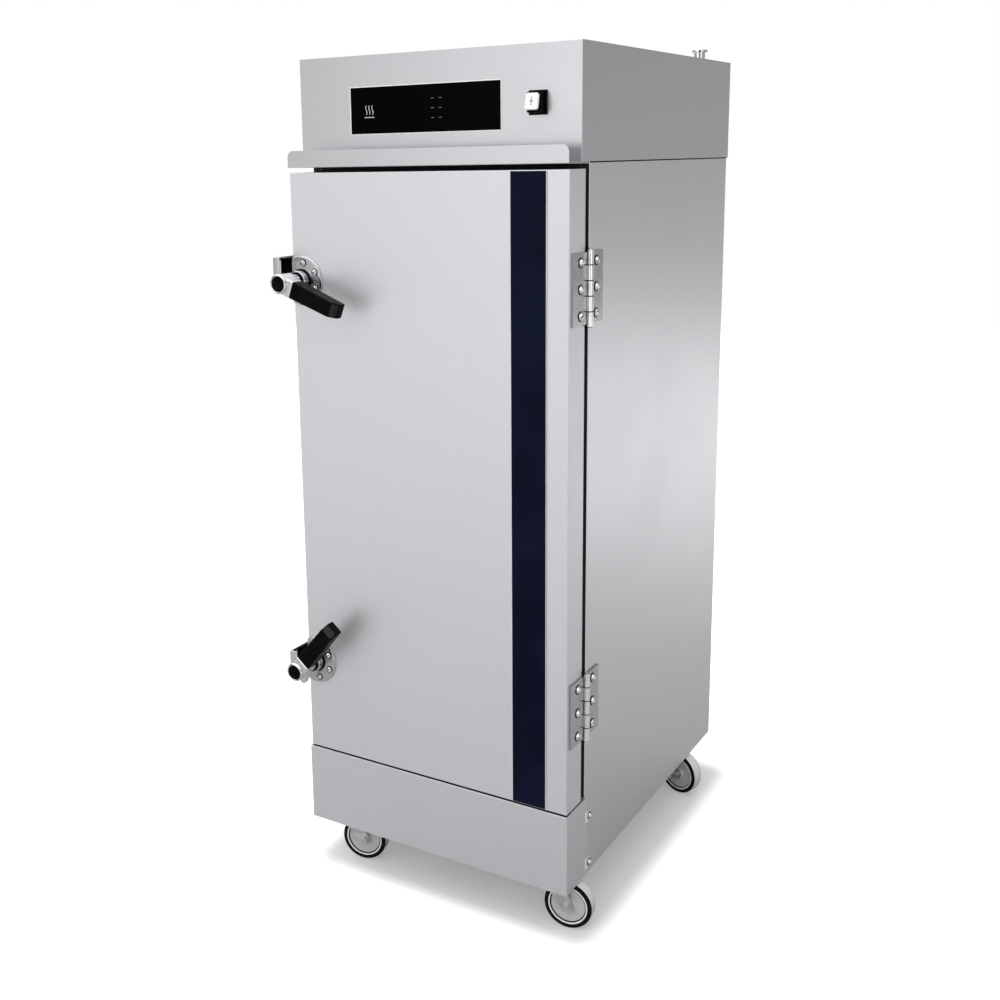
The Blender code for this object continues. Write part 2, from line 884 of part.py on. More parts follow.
def drain_handle():
    """The lever lies across the pipe, which is shut. Its origin is the stud's axis, on the neck."""
    hub = rod(handle_hub_radius, gap, gap + handle_thickness, "Z")
    bar = block((0, -handle_width / 2, gap), (handle_length, handle_width / 2, gap + handle_thickness))
    hole = rod(drain_stud_radius + gap, -overrun, handle_thickness + overrun, "Z")
    return solid("drain_handle", hub, joins=[bar], cuts=[hole])


def cord_gland():
    flange = header_back + gap
    profile = [
        (gland_radius, header_back - sheet - gland_inside),
        (gland_radius, flange),
        (gland_hex_radius, flange),
        (gland_hex_radius, flange + gland_hex_thickness),
        (gland_cap_radius, flange + gland_hex_thickness),
        (gland_cap_radius, header_back + gland_behind),
        (gland_bore_radius, header_back + gland_behind),
        (gland_bore_radius, header_back - sheet - gland_inside),
    ]
    return solid("cord_gland", moved(turned(profile, "Y"), (gland_x, 0, body_top + gland_above_floor)))


# Controls

def control_glass():
    front = header_front - glass_proud
    back = front + glass_thickness
    return solid("control_glass", block((glass_left, front, glass_bottom), (glass_right, back, glass_top)))


def control_box():
    front = header_front + sheet + gap
    low = (glass_left - control_box_margin, front, glass_bottom - control_box_margin)
    high = (glass_right + control_box_margin, front + control_box_depth, glass_top + control_box_margin)
    return solid("control_box", open_box(low, high, base_sheet, (0, -1, 0)))


def switch_block(half_x, half_z, near, far):
    return block(
        (switch_x - half_x, header_front - far, switch_height - half_z),
        (switch_x + half_x, header_front - near, switch_height + half_z),
    )


def switch_housing():
    reach = switch_collar_thickness + gap
    collar = switch_block(switch_collar_half_width, switch_collar_half_height, gap, reach)
    lap = switch_collar_thickness / 2
    nose = switch_block(switch_block_half_width, switch_block_half_height, lap, switch_block_reach)
    body = switch_block(switch_body_half_width, switch_body_half_height, -switch_body_depth, lap)
    half = rocker_pivot_half_length + gap
    groove = rod(rocker_pivot_radius + gap, -half, half, "X")
    groove = moved(groove, (switch_x, header_front - rocker_pivot_reach, switch_height))
    return solid("switch_housing", collar, joins=[nose, body], cuts=[groove])


def switch_rocker():
    """A tilted cap on a round stem. Its origin is the stem's axis."""
    cap = block(
        (-rocker_half_width, -rocker_lift - rocker_thickness, -rocker_half_height),
        (rocker_half_width, -rocker_lift, rocker_half_height),
    )
    stem = rod(rocker_pivot_radius, -rocker_pivot_half_length, rocker_pivot_half_length, "X")
    return solid("switch_rocker", cap, joins=[stem])


def contactor():
    front = header_front + contactor_behind_fascia
    back = front + contactor_depth
    floor = header_floor_top + gap
    outline = [
        (front, floor),
        (back, floor),
        (back, floor + contactor_base_height),
        (back - contactor_step, floor + contactor_base_height),
        (back - contactor_step, floor + contactor_height),
        (front + contactor_step, floor + contactor_height),
        (front + contactor_step, floor + contactor_base_height),
        (front, floor + contactor_base_height),
    ]
    half = contactor_width / 2
    return solid("contactor", prism(outline, "X", contactor_x - half, contactor_x + half))


# Door

def door_skin():
    low = (door_left, door_front, door_bottom)
    high = (door_right, door_back - sheet - gap, door_top)
    return solid("door_skin", open_box(low, high, sheet, (0, 1, 0)))


def door_inner_panel():
    """A flat panel, pressed out towards the chamber inside the seal."""
    window = (-mouth_half_width, mouth_half_width, mouth_bottom, mouth_top)
    raised = [
        window[0] + door_emboss_margin,
        window[1] - door_emboss_margin,
        window[2] + door_emboss_margin,
        window[3] - door_emboss_margin,
    ]
    plate = block((door_left, door_back - sheet, door_bottom), (door_right, door_back, door_top))
    lap = sheet / 2
    raised_face = door_back + door_emboss_depth
    pressing = block((raised[0], door_back - lap, raised[2]), (raised[1], raised_face, raised[3]))
    hollow = block(
        (raised[0] + sheet, door_back - sheet - overrun, raised[2] + sheet),
        (raised[1] - sheet, raised_face - sheet, raised[3] - sheet),
    )
    return solid("door_inner_panel", plate, joins=[pressing], cuts=[hollow])


def door_foam():
    inset = sheet + gap
    low = (door_left + inset, door_front + inset, door_bottom + inset)
    high = (door_right - inset, door_back - inset - gap, door_top - inset)
    return solid("door_foam", block(low, high))


def door_gasket():
    window = (
        -mouth_half_width - seal_margin,
        mouth_half_width + seal_margin,
        mouth_bottom - seal_margin,
        mouth_top + seal_margin,
    )
    shoulder = (seal_width - seal_crown_width) / 2
    base = door_back + gap
    crown = frame_face - gap
    waist = (base + crown) / 2
    section = [
        (0, 0, base),
        (0, seal_width, base),
        (0, seal_width, waist),
        (0, seal_width - shoulder, crown),
        (0, shoulder, crown),
        (0, 0, waist),
    ]
    return solid("door_gasket", window_frame(window, window, section))


def door_strip():
    right = door_right - strip_right_margin
    low = (right - strip_width, door_front - gap - strip_thickness, door_bottom + strip_bottom_margin)
    high = (right, door_front - gap, door_top - strip_end_margin)
    return solid("door_strip", block(low, high))


# Hinges

def knuckles(first):
    """Every second knuckle of the barrel, as loose rods about the pin's axis."""
    length = hinge_barrel_length / hinge_knuckles
    bottom = gap / 2 - hinge_barrel_length / 2
    return gathered(
        rod(hinge_barrel_radius, bottom + index * length, bottom + (index + 1) * length - gap, "Z")
        for index in range(first, hinge_knuckles, 2)
    )


def hinge_leaf(side, first):
    """A leaf with its knuckles, about the pin's axis. Side +1 is the body's leaf and -1 the door's."""
    near = gap - hinge_axis_out
    far = near + hinge_leaf_thickness
    length = hinge_barrel_length / hinge_knuckles
    half = hinge_leaf_height / 2
    start = -hinge_leaf_wrap
    plate = block((near, side * start, -half), (far, side * hinge_leaf_width, half))
    notches = []
    for index in range(1 - first, hinge_knuckles, 2):
        low = -hinge_barrel_length / 2 + index * length - gap / 2
        notches.append(
            block(
                (near - overrun, side * (start - overrun), low),
                (far + overrun, side * hinge_leaf_notch, low + length + gap),
            )
        )
    bore = rod(hinge_pin_radius + gap, -hinge_barrel_length, hinge_barrel_length, "Z")
    leaf = bmesh.new()
    notched = solid("hinge_leaf_plate", plate, cuts=[gathered(notches)])
    leaf.from_mesh(notched)
    return solid("hinge_leaf", leaf, joins=[knuckles(first)], cuts=[bore])


def hinge_pin():
    end = hinge_barrel_length / 2 + gap
    profile = [
        (0, end + hinge_pin_head),
        (hinge_pin_head_radius, end + hinge_pin_head),
        (hinge_pin_head_radius, end),
        (hinge_pin_radius, end),
        (hinge_pin_radius, -end),
        (hinge_pin_head_radius, -end),
        (hinge_pin_head_radius, -end - hinge_pin_head),
        (0, -end - hinge_pin_head),
    ]
    return solid("hinge_pin", turned(profile, "Z"))


# Latches. Their own space has its origin on the spindle's axis at the door's face, with the lever along +X
# and the door's outside towards -Y.

def latch_base():
    profile = [
        (latch_spindle_radius + gap, -gap),
        (latch_spindle_radius + gap, -latch_hub_reach),
        (latch_hub_radius, -latch_hub_reach),
        (latch_hub_radius + gap, -latch_disc_thickness),
        (latch_disc_radius - latch_disc_thickness, -latch_disc_thickness),
        (latch_disc_radius, -latch_disc_thickness / 2),
        (latch_disc_radius, -gap),
    ]
    body = turned(profile, "Y", wheel_steps)
    edge = door_left - latch_x
    trim = block(
        (-latch_disc_radius - overrun, -latch_disc_thickness - overrun, -latch_disc_radius - overrun),
        (edge, overrun, latch_disc_radius + overrun),
    )
    return solid("latch_base", body, cuts=[trim])


def latch_lever():
    boss_low = latch_neck_reach
    profile = [
        (0, -latch_spindle_start),
        (latch_spindle_radius, -latch_spindle_start),
        (latch_spindle_radius, -latch_cam_start),
        (latch_cam_radius, -latch_cam_start),
        (latch_cam_radius, -boss_low),
        (latch_boss_radius, -boss_low - latch_boss_rim_drop),
        (latch_boss_radius, -latch_reach + latch_boss_rim_drop),
        (latch_boss_rim, -latch_reach),
        (0, -latch_reach),
    ]
    boss = turned(profile, "Y")
    socket = block(
        (0, -latch_socket_high, -latch_socket_half_width),
        (latch_socket_length, -latch_socket_low, latch_socket_half_width),
    )
    tang = block(
        (latch_socket_length / 2, -latch_grip_centre - latch_tang_half, -latch_tang_half),
        (latch_tang_length, -latch_grip_centre + latch_tang_half, latch_tang_half),
    )
    tongue_shoulder = tongue_length - tongue_half_width / 2
    outline = [
        (0, -tongue_half_width),
        (tongue_shoulder, -tongue_half_width),
        (tongue_length, -tongue_half_width / 2),
        (tongue_length, tongue_half_width / 2),
        (tongue_shoulder, tongue_half_width),
        (0, tongue_half_width),
    ]
    tongue = turned_about(prism(outline, "Y", -tongue_high, -tongue_low), -tongue_angle, "Y")
    return solid("latch_lever", boss, joins=[socket, tang, tongue])


def latch_grip():
    start = latch_socket_length + gap
    end = latch_socket_length + grip_length
    outline = [
        (start, -grip_half_width),
        (end - grip_chamfer, -grip_end_half_width),
        (end, -grip_end_half_width + grip_chamfer / 2),
        (end, grip_end_half_width),
        (end - grip_chamfer, grip_end_half_width),
        (start, grip_half_width),
    ]
    outer_face = -latch_grip_centre - grip_half_thickness
    shape = prism(outline, "Y", outer_face, outer_face + 2 * grip_half_thickness)
    long_edges = [edge for edge in shape.edges if abs(edge.verts[0].co.y - edge.verts[1].co.y) < gap]
    bmesh.ops.bevel(shape, geom=long_edges, offset=grip_edge, segments=2, profile=0.5, affect="EDGES")
    half = latch_tang_half + gap
    bore = block(
        (start - overrun, -latch_grip_centre - half, -half),
        (latch_tang_length + gap, -latch_grip_centre + half, half),
    )
    return solid("latch_grip", shape, cuts=[bore])


def keeper(level):
    """A bent arm on the left side panel. Its front lip holds the tongue, which comes in from below."""
    low = latch_heights[level] + keeper_low[level]
    high = latch_heights[level] + keeper_high[level]
    base_x = -(half_width + gap)
    arm_x = -(half_width + keeper_arm_out - keeper_thickness / 2)
    lip_y = door_front - keeper_lip_front
    path = [
        (base_x, body_front + keeper_base_start + keeper_base_length),
        (base_x, body_front + keeper_base_start),
        (arm_x, body_front - keeper_bend_ahead),
        (arm_x, lip_y + keeper_thickness),
        (arm_x + keeper_lip_width, lip_y + keeper_thickness),
    ]
    outline = sheet_outline(path, -keeper_thickness)
    notch = block(
        (arm_x - keeper_thickness - overrun, door_front - keeper_lip_back, low - overrun),
        (arm_x + gap, door_front - tongue_low + keeper_notch_clearance, high - keeper_bridge),
    )
    return solid("keeper", prism(outline, "Z", low, high), cuts=[notch])


# Casters. Their own space has its origin on the swivel's axis at the floor, with the wheel trailing along +X.

def caster_plate():
    plate = block(
        (-caster_plate_width / 2, -caster_plate_length / 2, caster_height - caster_plate_thickness),
        (caster_plate_width / 2, caster_plate_length / 2, caster_height),
    )
    race = rod(race_radius, race_bottom, caster_height - caster_plate_thickness / 2, "Z")
    hole = rod(kingpin_radius + gap, race_bottom - overrun, caster_height + overrun, "Z")
    return solid("caster_plate", plate, joins=[race], cuts=[hole])


def fork_outline():
    """One leg, seen from the side: wide at the crown, round at the axle."""
    top = crown_bottom + crown_thickness / 2
    centre = Vector((caster_trail, wheel_radius))
    outline = [(-fork_leg_back, top), (-fork_leg_back, crown_bottom)]
    for step in range(fork_foot_steps + 1):
        angle = fork_foot_start + math.pi * step / fork_foot_steps
        outline.append(centre + fork_foot_radius * Vector((math.cos(angle), math.sin(angle))))
    outline.append((fork_leg_front, crown_bottom))
    outline.append((fork_leg_front, top))
    return outline


def fork():
    inner = wheel_width / 2 + fork_leg_gap
    outer = inner + fork_leg_thickness
    legs = [prism(fork_outline(), "Y", *sorted((side * inner, side * outer))) for side in (-1, 1)]
    crown = turned(
        [
            (0, race_bottom + kingpin_rise),
            (kingpin_radius, race_bottom + kingpin_rise),
            (kingpin_radius, race_bottom - gap),
            (crown_radius, race_bottom - gap),
            (crown_radius, crown_bottom),
            (0, crown_bottom),
        ],
        "Z",
    )
    axle = moved(rod(axle_radius, -outer - axle_end, outer + axle_end, "Y"), (caster_trail, 0, wheel_radius))
    return solid("fork", crown, joins=[gathered(legs), axle])


def wheel():
    """Hub, disc, rim and tyre, about the axle."""
    half = wheel_width / 2
    disc = wheel_disc_width / 2
    bore = axle_radius + gap
    shoulder = wheel_radius - wheel_tread_radius
    side = [
        (bore, half),
        (wheel_hub_radius, half),
        (wheel_hub_radius, disc),
        (wheel_rim_radius, disc),
        (wheel_rim_radius, half - shoulder),
        (wheel_rim_radius + shoulder, half),
        (wheel_tread_radius, half),
        (wheel_radius, half - shoulder),
    ]
    profile = side + [(radius, -place) for radius, place in reversed(side)]
    return solid("wheel", turned(profile, "Y", wheel_steps))


# Assembly

clear_scene()

steel = make_material("brushed_steel", (0.70, 0.70, 0.72), 0.32, 1.0)
chamber_steel = make_material("chamber_steel", (0.66, 0.66, 0.67), 0.28, 1.0)
chrome = make_material("chrome", (0.80, 0.80, 0.82), 0.12, 1.0)
zinc = make_material("zinc_steel", (0.62, 0.63, 0.64), 0.35, 1.0)
brass = make_material("brass", (0.72, 0.55, 0.28), 0.30, 1.0)
navy = make_material("navy_film", (0.010, 0.014, 0.060), 0.30, 0.0)
black = make_material("black_plastic", (0.010, 0.010, 0.011), 0.35, 0.0)
white = make_material("white_plastic", (0.85, 0.85, 0.83), 0.30, 0.0)
glass = make_material("black_glass", (0.004, 0.004, 0.005), 0.06, 0.0)
rubber = make_material("grey_rubber", (0.30, 0.30, 0.31), 0.60, 0.0)
wheel_grey = make_material("wheel_grey", (0.55, 0.55, 0.56), 0.45, 0.0)
foam = make_material("foam", (0.80, 0.74, 0.52), 0.90, 0.0)

add_piece("side_panel_left", side_panel(-1), steel)
add_piece("side_panel_right", side_panel(1), steel)
add_piece("back_panel", back_panel(), steel)
add_piece("header_shell", header_shell(), steel)
add_piece("header_fascia", header_fascia(), steel)
add_piece("header_rear_cover", header_rear_cover(), steel)
add_piece("header_floor", header_floor(), zinc)
add_piece("visor", visor(), steel)
add_piece("base_frame", base_frame(), zinc)
add_piece("kick_panel", kick_panel(), steel)
add_piece("front_frame", front_frame(), chamber_steel)
add_piece("inner_liner", inner_liner(), chamber_steel)
add_piece("insulation", insulation(), foam)
add_piece("rack_left", rack(-1), chamber_steel)
add_piece("rack_right", rack(1), chamber_steel)
add_piece("baffle_plate", baffle_plate(), chamber_steel)
add_piece("heater_left", heater(-1), chrome, smooth=True)
add_piece("heater_right", heater(1), chrome, smooth=True)
add_piece("vent_pipe", vent_pipe(), chrome, smooth=True)
add_piece("water_inlet", water_inlet(), brass, smooth=True)
add_piece("drain_valve_body", drain_valve_body(), brass, smooth=True)
add_piece("cord_gland", cord_gland(), black, smooth=True)
add_piece("control_glass", control_glass(), glass)
add_piece("control_box", control_box(), black)
add_piece("switch_housing", switch_housing(), black)
add_piece("contactor", contactor(), black)

switch_axis = (switch_x, header_front - rocker_pivot_reach, switch_height)
switch_pivot = add_pivot("switch_pivot", switch_axis, rotation=(-rocker_tilt, 0, 0))
add_piece("switch_rocker", switch_rocker(), white, switch_pivot)

handle_pivot = add_pivot("drain_handle_pivot", (drain_x, drain_neck_y, drain_height + drain_neck_height))
add_piece("drain_handle", drain_handle(), zinc, handle_pivot)

door_pivot = add_pivot("door_pivot", hinge_axis)
for name, make, material in (
    ("door_skin", door_skin, steel),
    ("door_inner_panel", door_inner_panel, chamber_steel),
    ("door_foam", door_foam, foam),
    ("door_gasket", door_gasket, rubber),
    ("door_strip", door_strip, navy),
):
    mesh = make()
    mesh.transform(Matrix.Translation(-hinge_axis))
    add_piece(name, mesh, material, door_pivot)

for level, height in hinge_heights.items():
    on_body = add_pivot("hinge_place_" + level, hinge_axis + Vector((0, 0, height)))
    on_door = add_pivot("hinge_door_place_" + level, (0, 0, height), door_pivot)
    add_piece("hinge_body_leaf_" + level, hinge_leaf(1, 0), chrome, on_body, smooth=True)
    add_piece("hinge_pin_" + level, hinge_pin(), chrome, on_body, smooth=True)
    add_piece("hinge_door_leaf_" + level, hinge_leaf(-1, 1), chrome, on_door, smooth=True)

for level, height in latch_heights.items():
    place = Vector((latch_x, door_front, height)) - hinge_axis
    seat = add_pivot("latch_seat_" + level, place, door_pivot)
    pivot = add_pivot("latch_pivot_" + level, place, door_pivot, (0, -latch_angles[level], 0))
    add_piece("latch_base_" + level, latch_base(), chrome, seat, smooth=True)
    add_piece("latch_lever_" + level, latch_lever(), chrome, pivot, smooth=True)
    add_piece("latch_grip_" + level, latch_grip(), black, pivot)
    add_piece("keeper_" + level, keeper(level), chrome)

fork_mesh = fork()
wheel_mesh = wheel()
plate_mesh = caster_plate()
for corner, angle in caster_angles.items():
    x = caster_x if corner.endswith("right") else -caster_x
    y = caster_front_y if corner.startswith("front") else caster_rear_y
    seat = add_pivot("caster_seat_" + corner, (x, y, 0))
    swivel = add_pivot("caster_swivel_" + corner, (x, y, 0), rotation=(0, 0, angle))
    axle = add_pivot("caster_axle_" + corner, (caster_trail, 0, wheel_radius), swivel)
    add_piece("caster_plate_" + corner, plate_mesh, zinc, seat, smooth=True)
    add_piece("caster_fork_" + corner, fork_mesh, zinc, swivel, smooth=True)
    add_piece("caster_wheel_" + corner, wheel_mesh, wheel_grey, axle, smooth=True)
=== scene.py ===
# %% [markdown]
# # A steam cabinet on casters
#
# The real cabinet is folded from satin stainless sheet, with polished latches and hinges, black plastic
# grips, a black glass control panel and rubber-tyred casters. Its solids are already packed, so this
# script only gives them their looks: it rounds folds, adds screws and trims, and paints every surface
# with procedural nodes. Loading comes first, because every piece below takes its place from these solids.

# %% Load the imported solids
import json
import math

import bmesh
import bpy
from mathutils import Matrix, Vector

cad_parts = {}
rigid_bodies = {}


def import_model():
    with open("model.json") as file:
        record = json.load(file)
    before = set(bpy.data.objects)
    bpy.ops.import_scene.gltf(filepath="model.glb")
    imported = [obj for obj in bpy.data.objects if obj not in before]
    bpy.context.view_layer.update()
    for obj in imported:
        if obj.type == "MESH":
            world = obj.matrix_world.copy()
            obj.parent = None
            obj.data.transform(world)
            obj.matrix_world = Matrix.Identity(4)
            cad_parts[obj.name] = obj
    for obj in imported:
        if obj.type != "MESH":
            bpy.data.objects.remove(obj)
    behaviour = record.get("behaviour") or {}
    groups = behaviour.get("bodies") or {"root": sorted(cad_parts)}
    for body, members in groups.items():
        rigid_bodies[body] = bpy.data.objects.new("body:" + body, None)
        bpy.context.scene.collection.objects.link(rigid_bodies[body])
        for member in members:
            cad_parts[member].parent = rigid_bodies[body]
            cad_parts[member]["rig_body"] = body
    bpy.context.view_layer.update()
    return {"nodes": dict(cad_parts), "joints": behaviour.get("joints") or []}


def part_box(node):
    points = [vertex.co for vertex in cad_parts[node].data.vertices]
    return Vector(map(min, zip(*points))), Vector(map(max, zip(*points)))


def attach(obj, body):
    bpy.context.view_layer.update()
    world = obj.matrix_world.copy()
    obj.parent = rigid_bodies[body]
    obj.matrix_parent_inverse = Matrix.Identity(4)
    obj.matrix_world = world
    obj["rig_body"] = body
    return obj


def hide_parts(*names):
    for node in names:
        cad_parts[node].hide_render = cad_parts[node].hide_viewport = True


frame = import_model()
joints = {joint["name"]: joint for joint in frame["joints"]}
sides = {"left": -1, "right": 1}
levels = ("upper", "lower")
corners = ("front_left", "front_right", "rear_left", "rear_right")

# %% [markdown]
# ## Camera
#
# The picture was taken from the front right, with the camera level with the visor and tilted down. Its aim
# is easiest to read as a turn round the vertical, a tilt and a slight roll, so its axes are worked out from
# those three angles. The shift is small, because it also moves the framing of every other view.

# %% Camera at the picture's angle
camera_place = Vector((1.2212, -2.3405, 1.4877))
camera_turn = 0.56409
camera_tilt = 0.2076
camera_roll = -0.01984
camera_lens = 44.69
camera_shift = (0.0805, -0.0800)


def new_object(name, data):
    """A mesh, a lamp or a camera as an object in the scene."""
    item = bpy.data.objects.new(name, data)
    bpy.context.scene.collection.objects.link(item)
    return item


ahead = Vector((-math.sin(camera_turn), math.cos(camera_turn), 0)) * math.cos(camera_tilt)
ahead.z = -math.sin(camera_tilt)
rightward = Vector((math.cos(camera_turn), math.sin(camera_turn), 0))
rightward.rotate(Matrix.Rotation(-camera_roll, 3, ahead))
upward = rightward.cross(ahead)
axes = Matrix((rightward, upward, -ahead)).transposed()
camera = new_object("camera", bpy.data.cameras.new("camera"))
camera.matrix_world = Matrix.Translation(camera_place) @ axes.to_4x4()
camera.data.lens = camera_lens
camera.data.shift_x, camera.data.shift_y = camera_shift
bpy.context.scene.camera = camera
print("camera at", [round(value, 3) for value in camera.location])

# %% [markdown]
# ## Nodes
#
# The room, the floor and every finish are webs of nodes. They could be joined by hand in the shader
# editor. In a script one helper makes a node, sets its options and fills its inputs, so that a node reads
# as one line.

# %% Node helpers
def new_node(tree, kind, inputs=None, **options):
    """A shader node. An input gets a value, or a link where it is given another node's output."""
    node = tree.nodes.new("ShaderNode" + kind)
    for option, choice in options.items():
        setattr(node, option, choice)
    for label, value in (inputs or {}).items():
        if isinstance(value, bpy.types.NodeSocket):
            tree.links.new(value, node.inputs[label])
        else:
            node.inputs[label].default_value = value
    return node


def ranged(tree, value, low, high, start=0.0, end=1.0, curve="LINEAR"):
    """Goes from low to high while the given value goes from start to end."""
    inputs = {"Value": value, "From Min": start, "From Max": end, "To Min": low, "To Max": high}
    return new_node(tree, "MapRange", inputs, interpolation_type=curve).outputs["Result"]


def worked_out(tree, operation, *values):
    """The sum or the product of the values."""
    return new_node(tree, "Math", dict(enumerate(values)), operation=operation).outputs["Value"]


# %% [markdown]
# ## Studio
#
# Polished and satin steel show what stands round them, so the room matters more than the lamp. The front
# reflects a pale room that dims towards the left, and the right side a greyer one. A dark band above eye
# level and a dark patch where the picture was taken from give round chrome its contrast. A world whose
# brightness changes with direction does all that without any panels that could come into view. To the
# camera the room is plain white.

# %% World
upwards = Vector((0, 0, 1))
band_stops = ((0.66, 1.0), (0.69, 0.04), (0.745, 0.04), (0.78, 1.05))
room_bright = 1.56
room_grey = 0.45
grey_towards = Vector((0.62, 0.78, 0.0))
grey_fade = (-0.10, 0.75)
left_dim = 0.30
left_towards = Vector((-0.94, -0.34, 0.0))
left_fade = (0.66, 0.92)
patch_dim = 0.10
patch_towards = Vector((0.45, -0.88, 0.12))
patch_fade = (0.935, 0.975)

bpy.context.scene.view_settings.view_transform = "Standard"
world = bpy.data.worlds.new("studio")
bpy.context.scene.world = world
world.use_nodes = True
room = world.node_tree
room.nodes.clear()
direction = new_node(room, "TexCoord").outputs["Generated"]


def room_fade(towards, near, far, fade=(-1, 1)):
    """Brightness that goes from one value to another as a ray turns towards a direction."""
    turn = new_node(room, "VectorMath", {0: direction, 1: towards}, operation="DOT_PRODUCT")
    return ranged(room, turn.outputs["Value"], near, far, *fade, "SMOOTHERSTEP")


band = new_node(room, "ValToRGB", {"Fac": room_fade(upwards, 0, 1)})
stops = band.color_ramp.elements
stops.remove(stops[1])
stops[0].color = (1, 1, 1, 1)
for place, value in band_stops:
    stops.new(place).color = (value, value, value, 1)
brightness = room_fade(grey_towards, room_bright, room_grey, grey_fade)
for fading in (
    room_fade(left_towards, 1.0, left_dim, left_fade),
    room_fade(patch_towards, 1.0, patch_dim, patch_fade),
    band.outputs["Color"],
):
    brightness = worked_out(room, "MULTIPLY", brightness, fading)
by_camera = new_node(room, "LightPath").outputs["Is Camera Ray"]
seen = new_node(room, "Mix", {"Factor": by_camera, "A": brightness, "B": 1.0})
background = new_node(room, "Background", {"Color": (1, 1, 1, 1), "Strength": seen.outputs["Result"]})
new_node(room, "OutputWorld", {"Surface": background.outputs["Background"]})
print("room from", room_grey, "to", room_bright)

# %% [markdown]
# ## Floor and lamp
#
# The floor is a plain pale disc. Its diffuse part takes the cabinet's soft shadow. To the camera, emission
# lifts the open floor to the white of the room. That emission is weakest at the cabinet's footprint and
# rises within about ten centimetres, so it also paints shadow round the cabinet and tightens the real one.
# The centre of that painted shadow is set a little to the right and back. The steel sees a floor that is dim
# close by and bright far off. One broad lamp high on the left gives the shadow its direction. Each lift
# below is the emission close by and far off, and the distances in metres between which it rises.

# %% Floor and lamp
floor_radius = 9.0
floor_segments = 96
floor_grey = 0.485
shadow_centre = Vector((0.02, 0.02, 0.0))
footprint = Vector((0.28, 0.37, 0.0))
camera_lift_and_painted_shadow = (0.25, 1.06, 0.01, 0.10)
steel_lift = (0.0, 0.36, 0.9, 4.2)
steel_lift_behind = (0.0, 0.27, 0.9, 2.6)
lamp_strength = 0.5
lamp_breadth = math.radians(80)
lamp_turn = (math.radians(30), math.radians(-24), 0)

floor_shape = bmesh.new()
bmesh.ops.create_circle(floor_shape, cap_ends=True, radius=floor_radius, segments=floor_segments)
floor_mesh = bpy.data.meshes.new("floor")
floor_shape.to_mesh(floor_mesh)
floor_shape.free()
floor = new_object("floor", floor_mesh)
paint = bpy.data.materials.new("pale_floor")
paint.use_nodes = True
paint_tree = paint.node_tree
paint_tree.nodes.clear()
on_floor = new_node(paint_tree, "TexCoord").outputs["Object"]
behind = new_node(paint_tree, "SeparateXYZ", {"Vector": on_floor}).outputs["Y"]


def measured(operation, *places):
    """A step of vector arithmetic on places on the floor."""
    return new_node(paint_tree, "VectorMath", dict(enumerate(places)), operation=operation).outputs


from_centre = measured("SUBTRACT", on_floor, shadow_centre)["Vector"]
either_side = measured("ABSOLUTE", from_centre)["Vector"]
from_cabinet = measured("SUBTRACT", either_side, footprint)["Vector"]
outside = measured("MAXIMUM", from_cabinet, Vector())["Vector"]
distance = measured("LENGTH", outside)["Value"]
in_steel = worked_out(
    paint_tree, "ADD", ranged(paint_tree, distance, *steel_lift, "SMOOTHSTEP"),
    ranged(paint_tree, behind, *steel_lift_behind, "SMOOTHSTEP"),
)
# Weakest at the footprint, this lift paints shadow on the floor round the cabinet.
to_camera = ranged(paint_tree, distance, *camera_lift_and_painted_shadow, "SMOOTHSTEP")
by_camera = new_node(paint_tree, "LightPath").outputs["Is Camera Ray"]
lift = new_node(paint_tree, "Mix", {"Factor": by_camera, "A": in_steel, "B": to_camera})
glow = new_node(paint_tree, "Emission", {"Strength": lift.outputs["Result"]})
matte = new_node(paint_tree, "BsdfDiffuse", {"Color": (floor_grey, floor_grey, floor_grey, 1)})
both = new_node(paint_tree, "AddShader", {0: matte.outputs["BSDF"], 1: glow.outputs["Emission"]})
new_node(paint_tree, "OutputMaterial", {"Surface": both.outputs["Shader"]})
floor_mesh.materials.append(paint)

lamp = new_object("lamp", bpy.data.lights.new("lamp", "SUN"))
lamp.data.energy = lamp_strength
lamp.data.angle = lamp_breadth
lamp.rotation_euler = lamp_turn
print("floor", floor_radius, "m in radius")

# %% [markdown]
# ## Shared surface effects
#
# Four effects turn up in many finishes, so each is a node group with its own inputs: the fine lines that
# brushing leaves, the soft clouds of handling, the small pits of a casting or moulding, and dust that
# gathers low down. A group gives out a mask, and the material decides what that mask does.

# %% Node group helper
def effect(name, label, value, result):
    """A node group fed with coordinates and one named value: the group, both inputs and its output."""
    group = bpy.data.node_groups.new(name, "ShaderNodeTree")
    kind = "NodeSocketFloat" if isinstance(value, float) else "NodeSocketVector"
    group.interface.new_socket("Vector", in_out="INPUT", socket_type="NodeSocketVector")
    group.interface.new_socket(label, in_out="INPUT", socket_type=kind).default_value = value
    group.interface.new_socket(result, in_out="OUTPUT", socket_type="NodeSocketFloat")
    entry = group.nodes.new("NodeGroupInput")
    leave = group.nodes.new("NodeGroupOutput")
    return group, entry.outputs["Vector"], entry.outputs[label], leave.inputs[result]


# %% Brushed lines
brushed, place, lines, mask = effect("brushed lines", "Lines", (1, 1, 1), "Line")
stretch = new_node(brushed, "VectorMath", {0: place, 1: lines}, operation="MULTIPLY").outputs["Vector"]
streaks = new_node(brushed, "TexNoise", {"Vector": stretch, "Scale": 1.0, "Detail": 4.0, "Roughness": 0.65})
brushed.links.new(streaks.outputs["Fac"], mask)
print("group", brushed.name)

# %% Clouds of handling
handled, place, size, mask = effect("handling clouds", "Size", 5.0, "Cloud")
clouds = new_node(handled, "TexNoise", {"Vector": place, "Scale": size, "Detail": 5.0, "Distortion": 0.6})
handled.links.new(ranged(handled, clouds.outputs["Fac"], 0.0, 1.0, 0.38, 0.66, "SMOOTHSTEP"), mask)
print("group", handled.name)

# %% Pitted skin
pitted, place, pits, mask = effect("pitted skin", "Pits", 700.0, "Height")
dimples = new_node(pitted, "TexVoronoi", {"Vector": place, "Scale": pits}, feature="SMOOTH_F1")
pitted.links.new(dimples.outputs["Distance"], mask)
print("group", pitted.name)

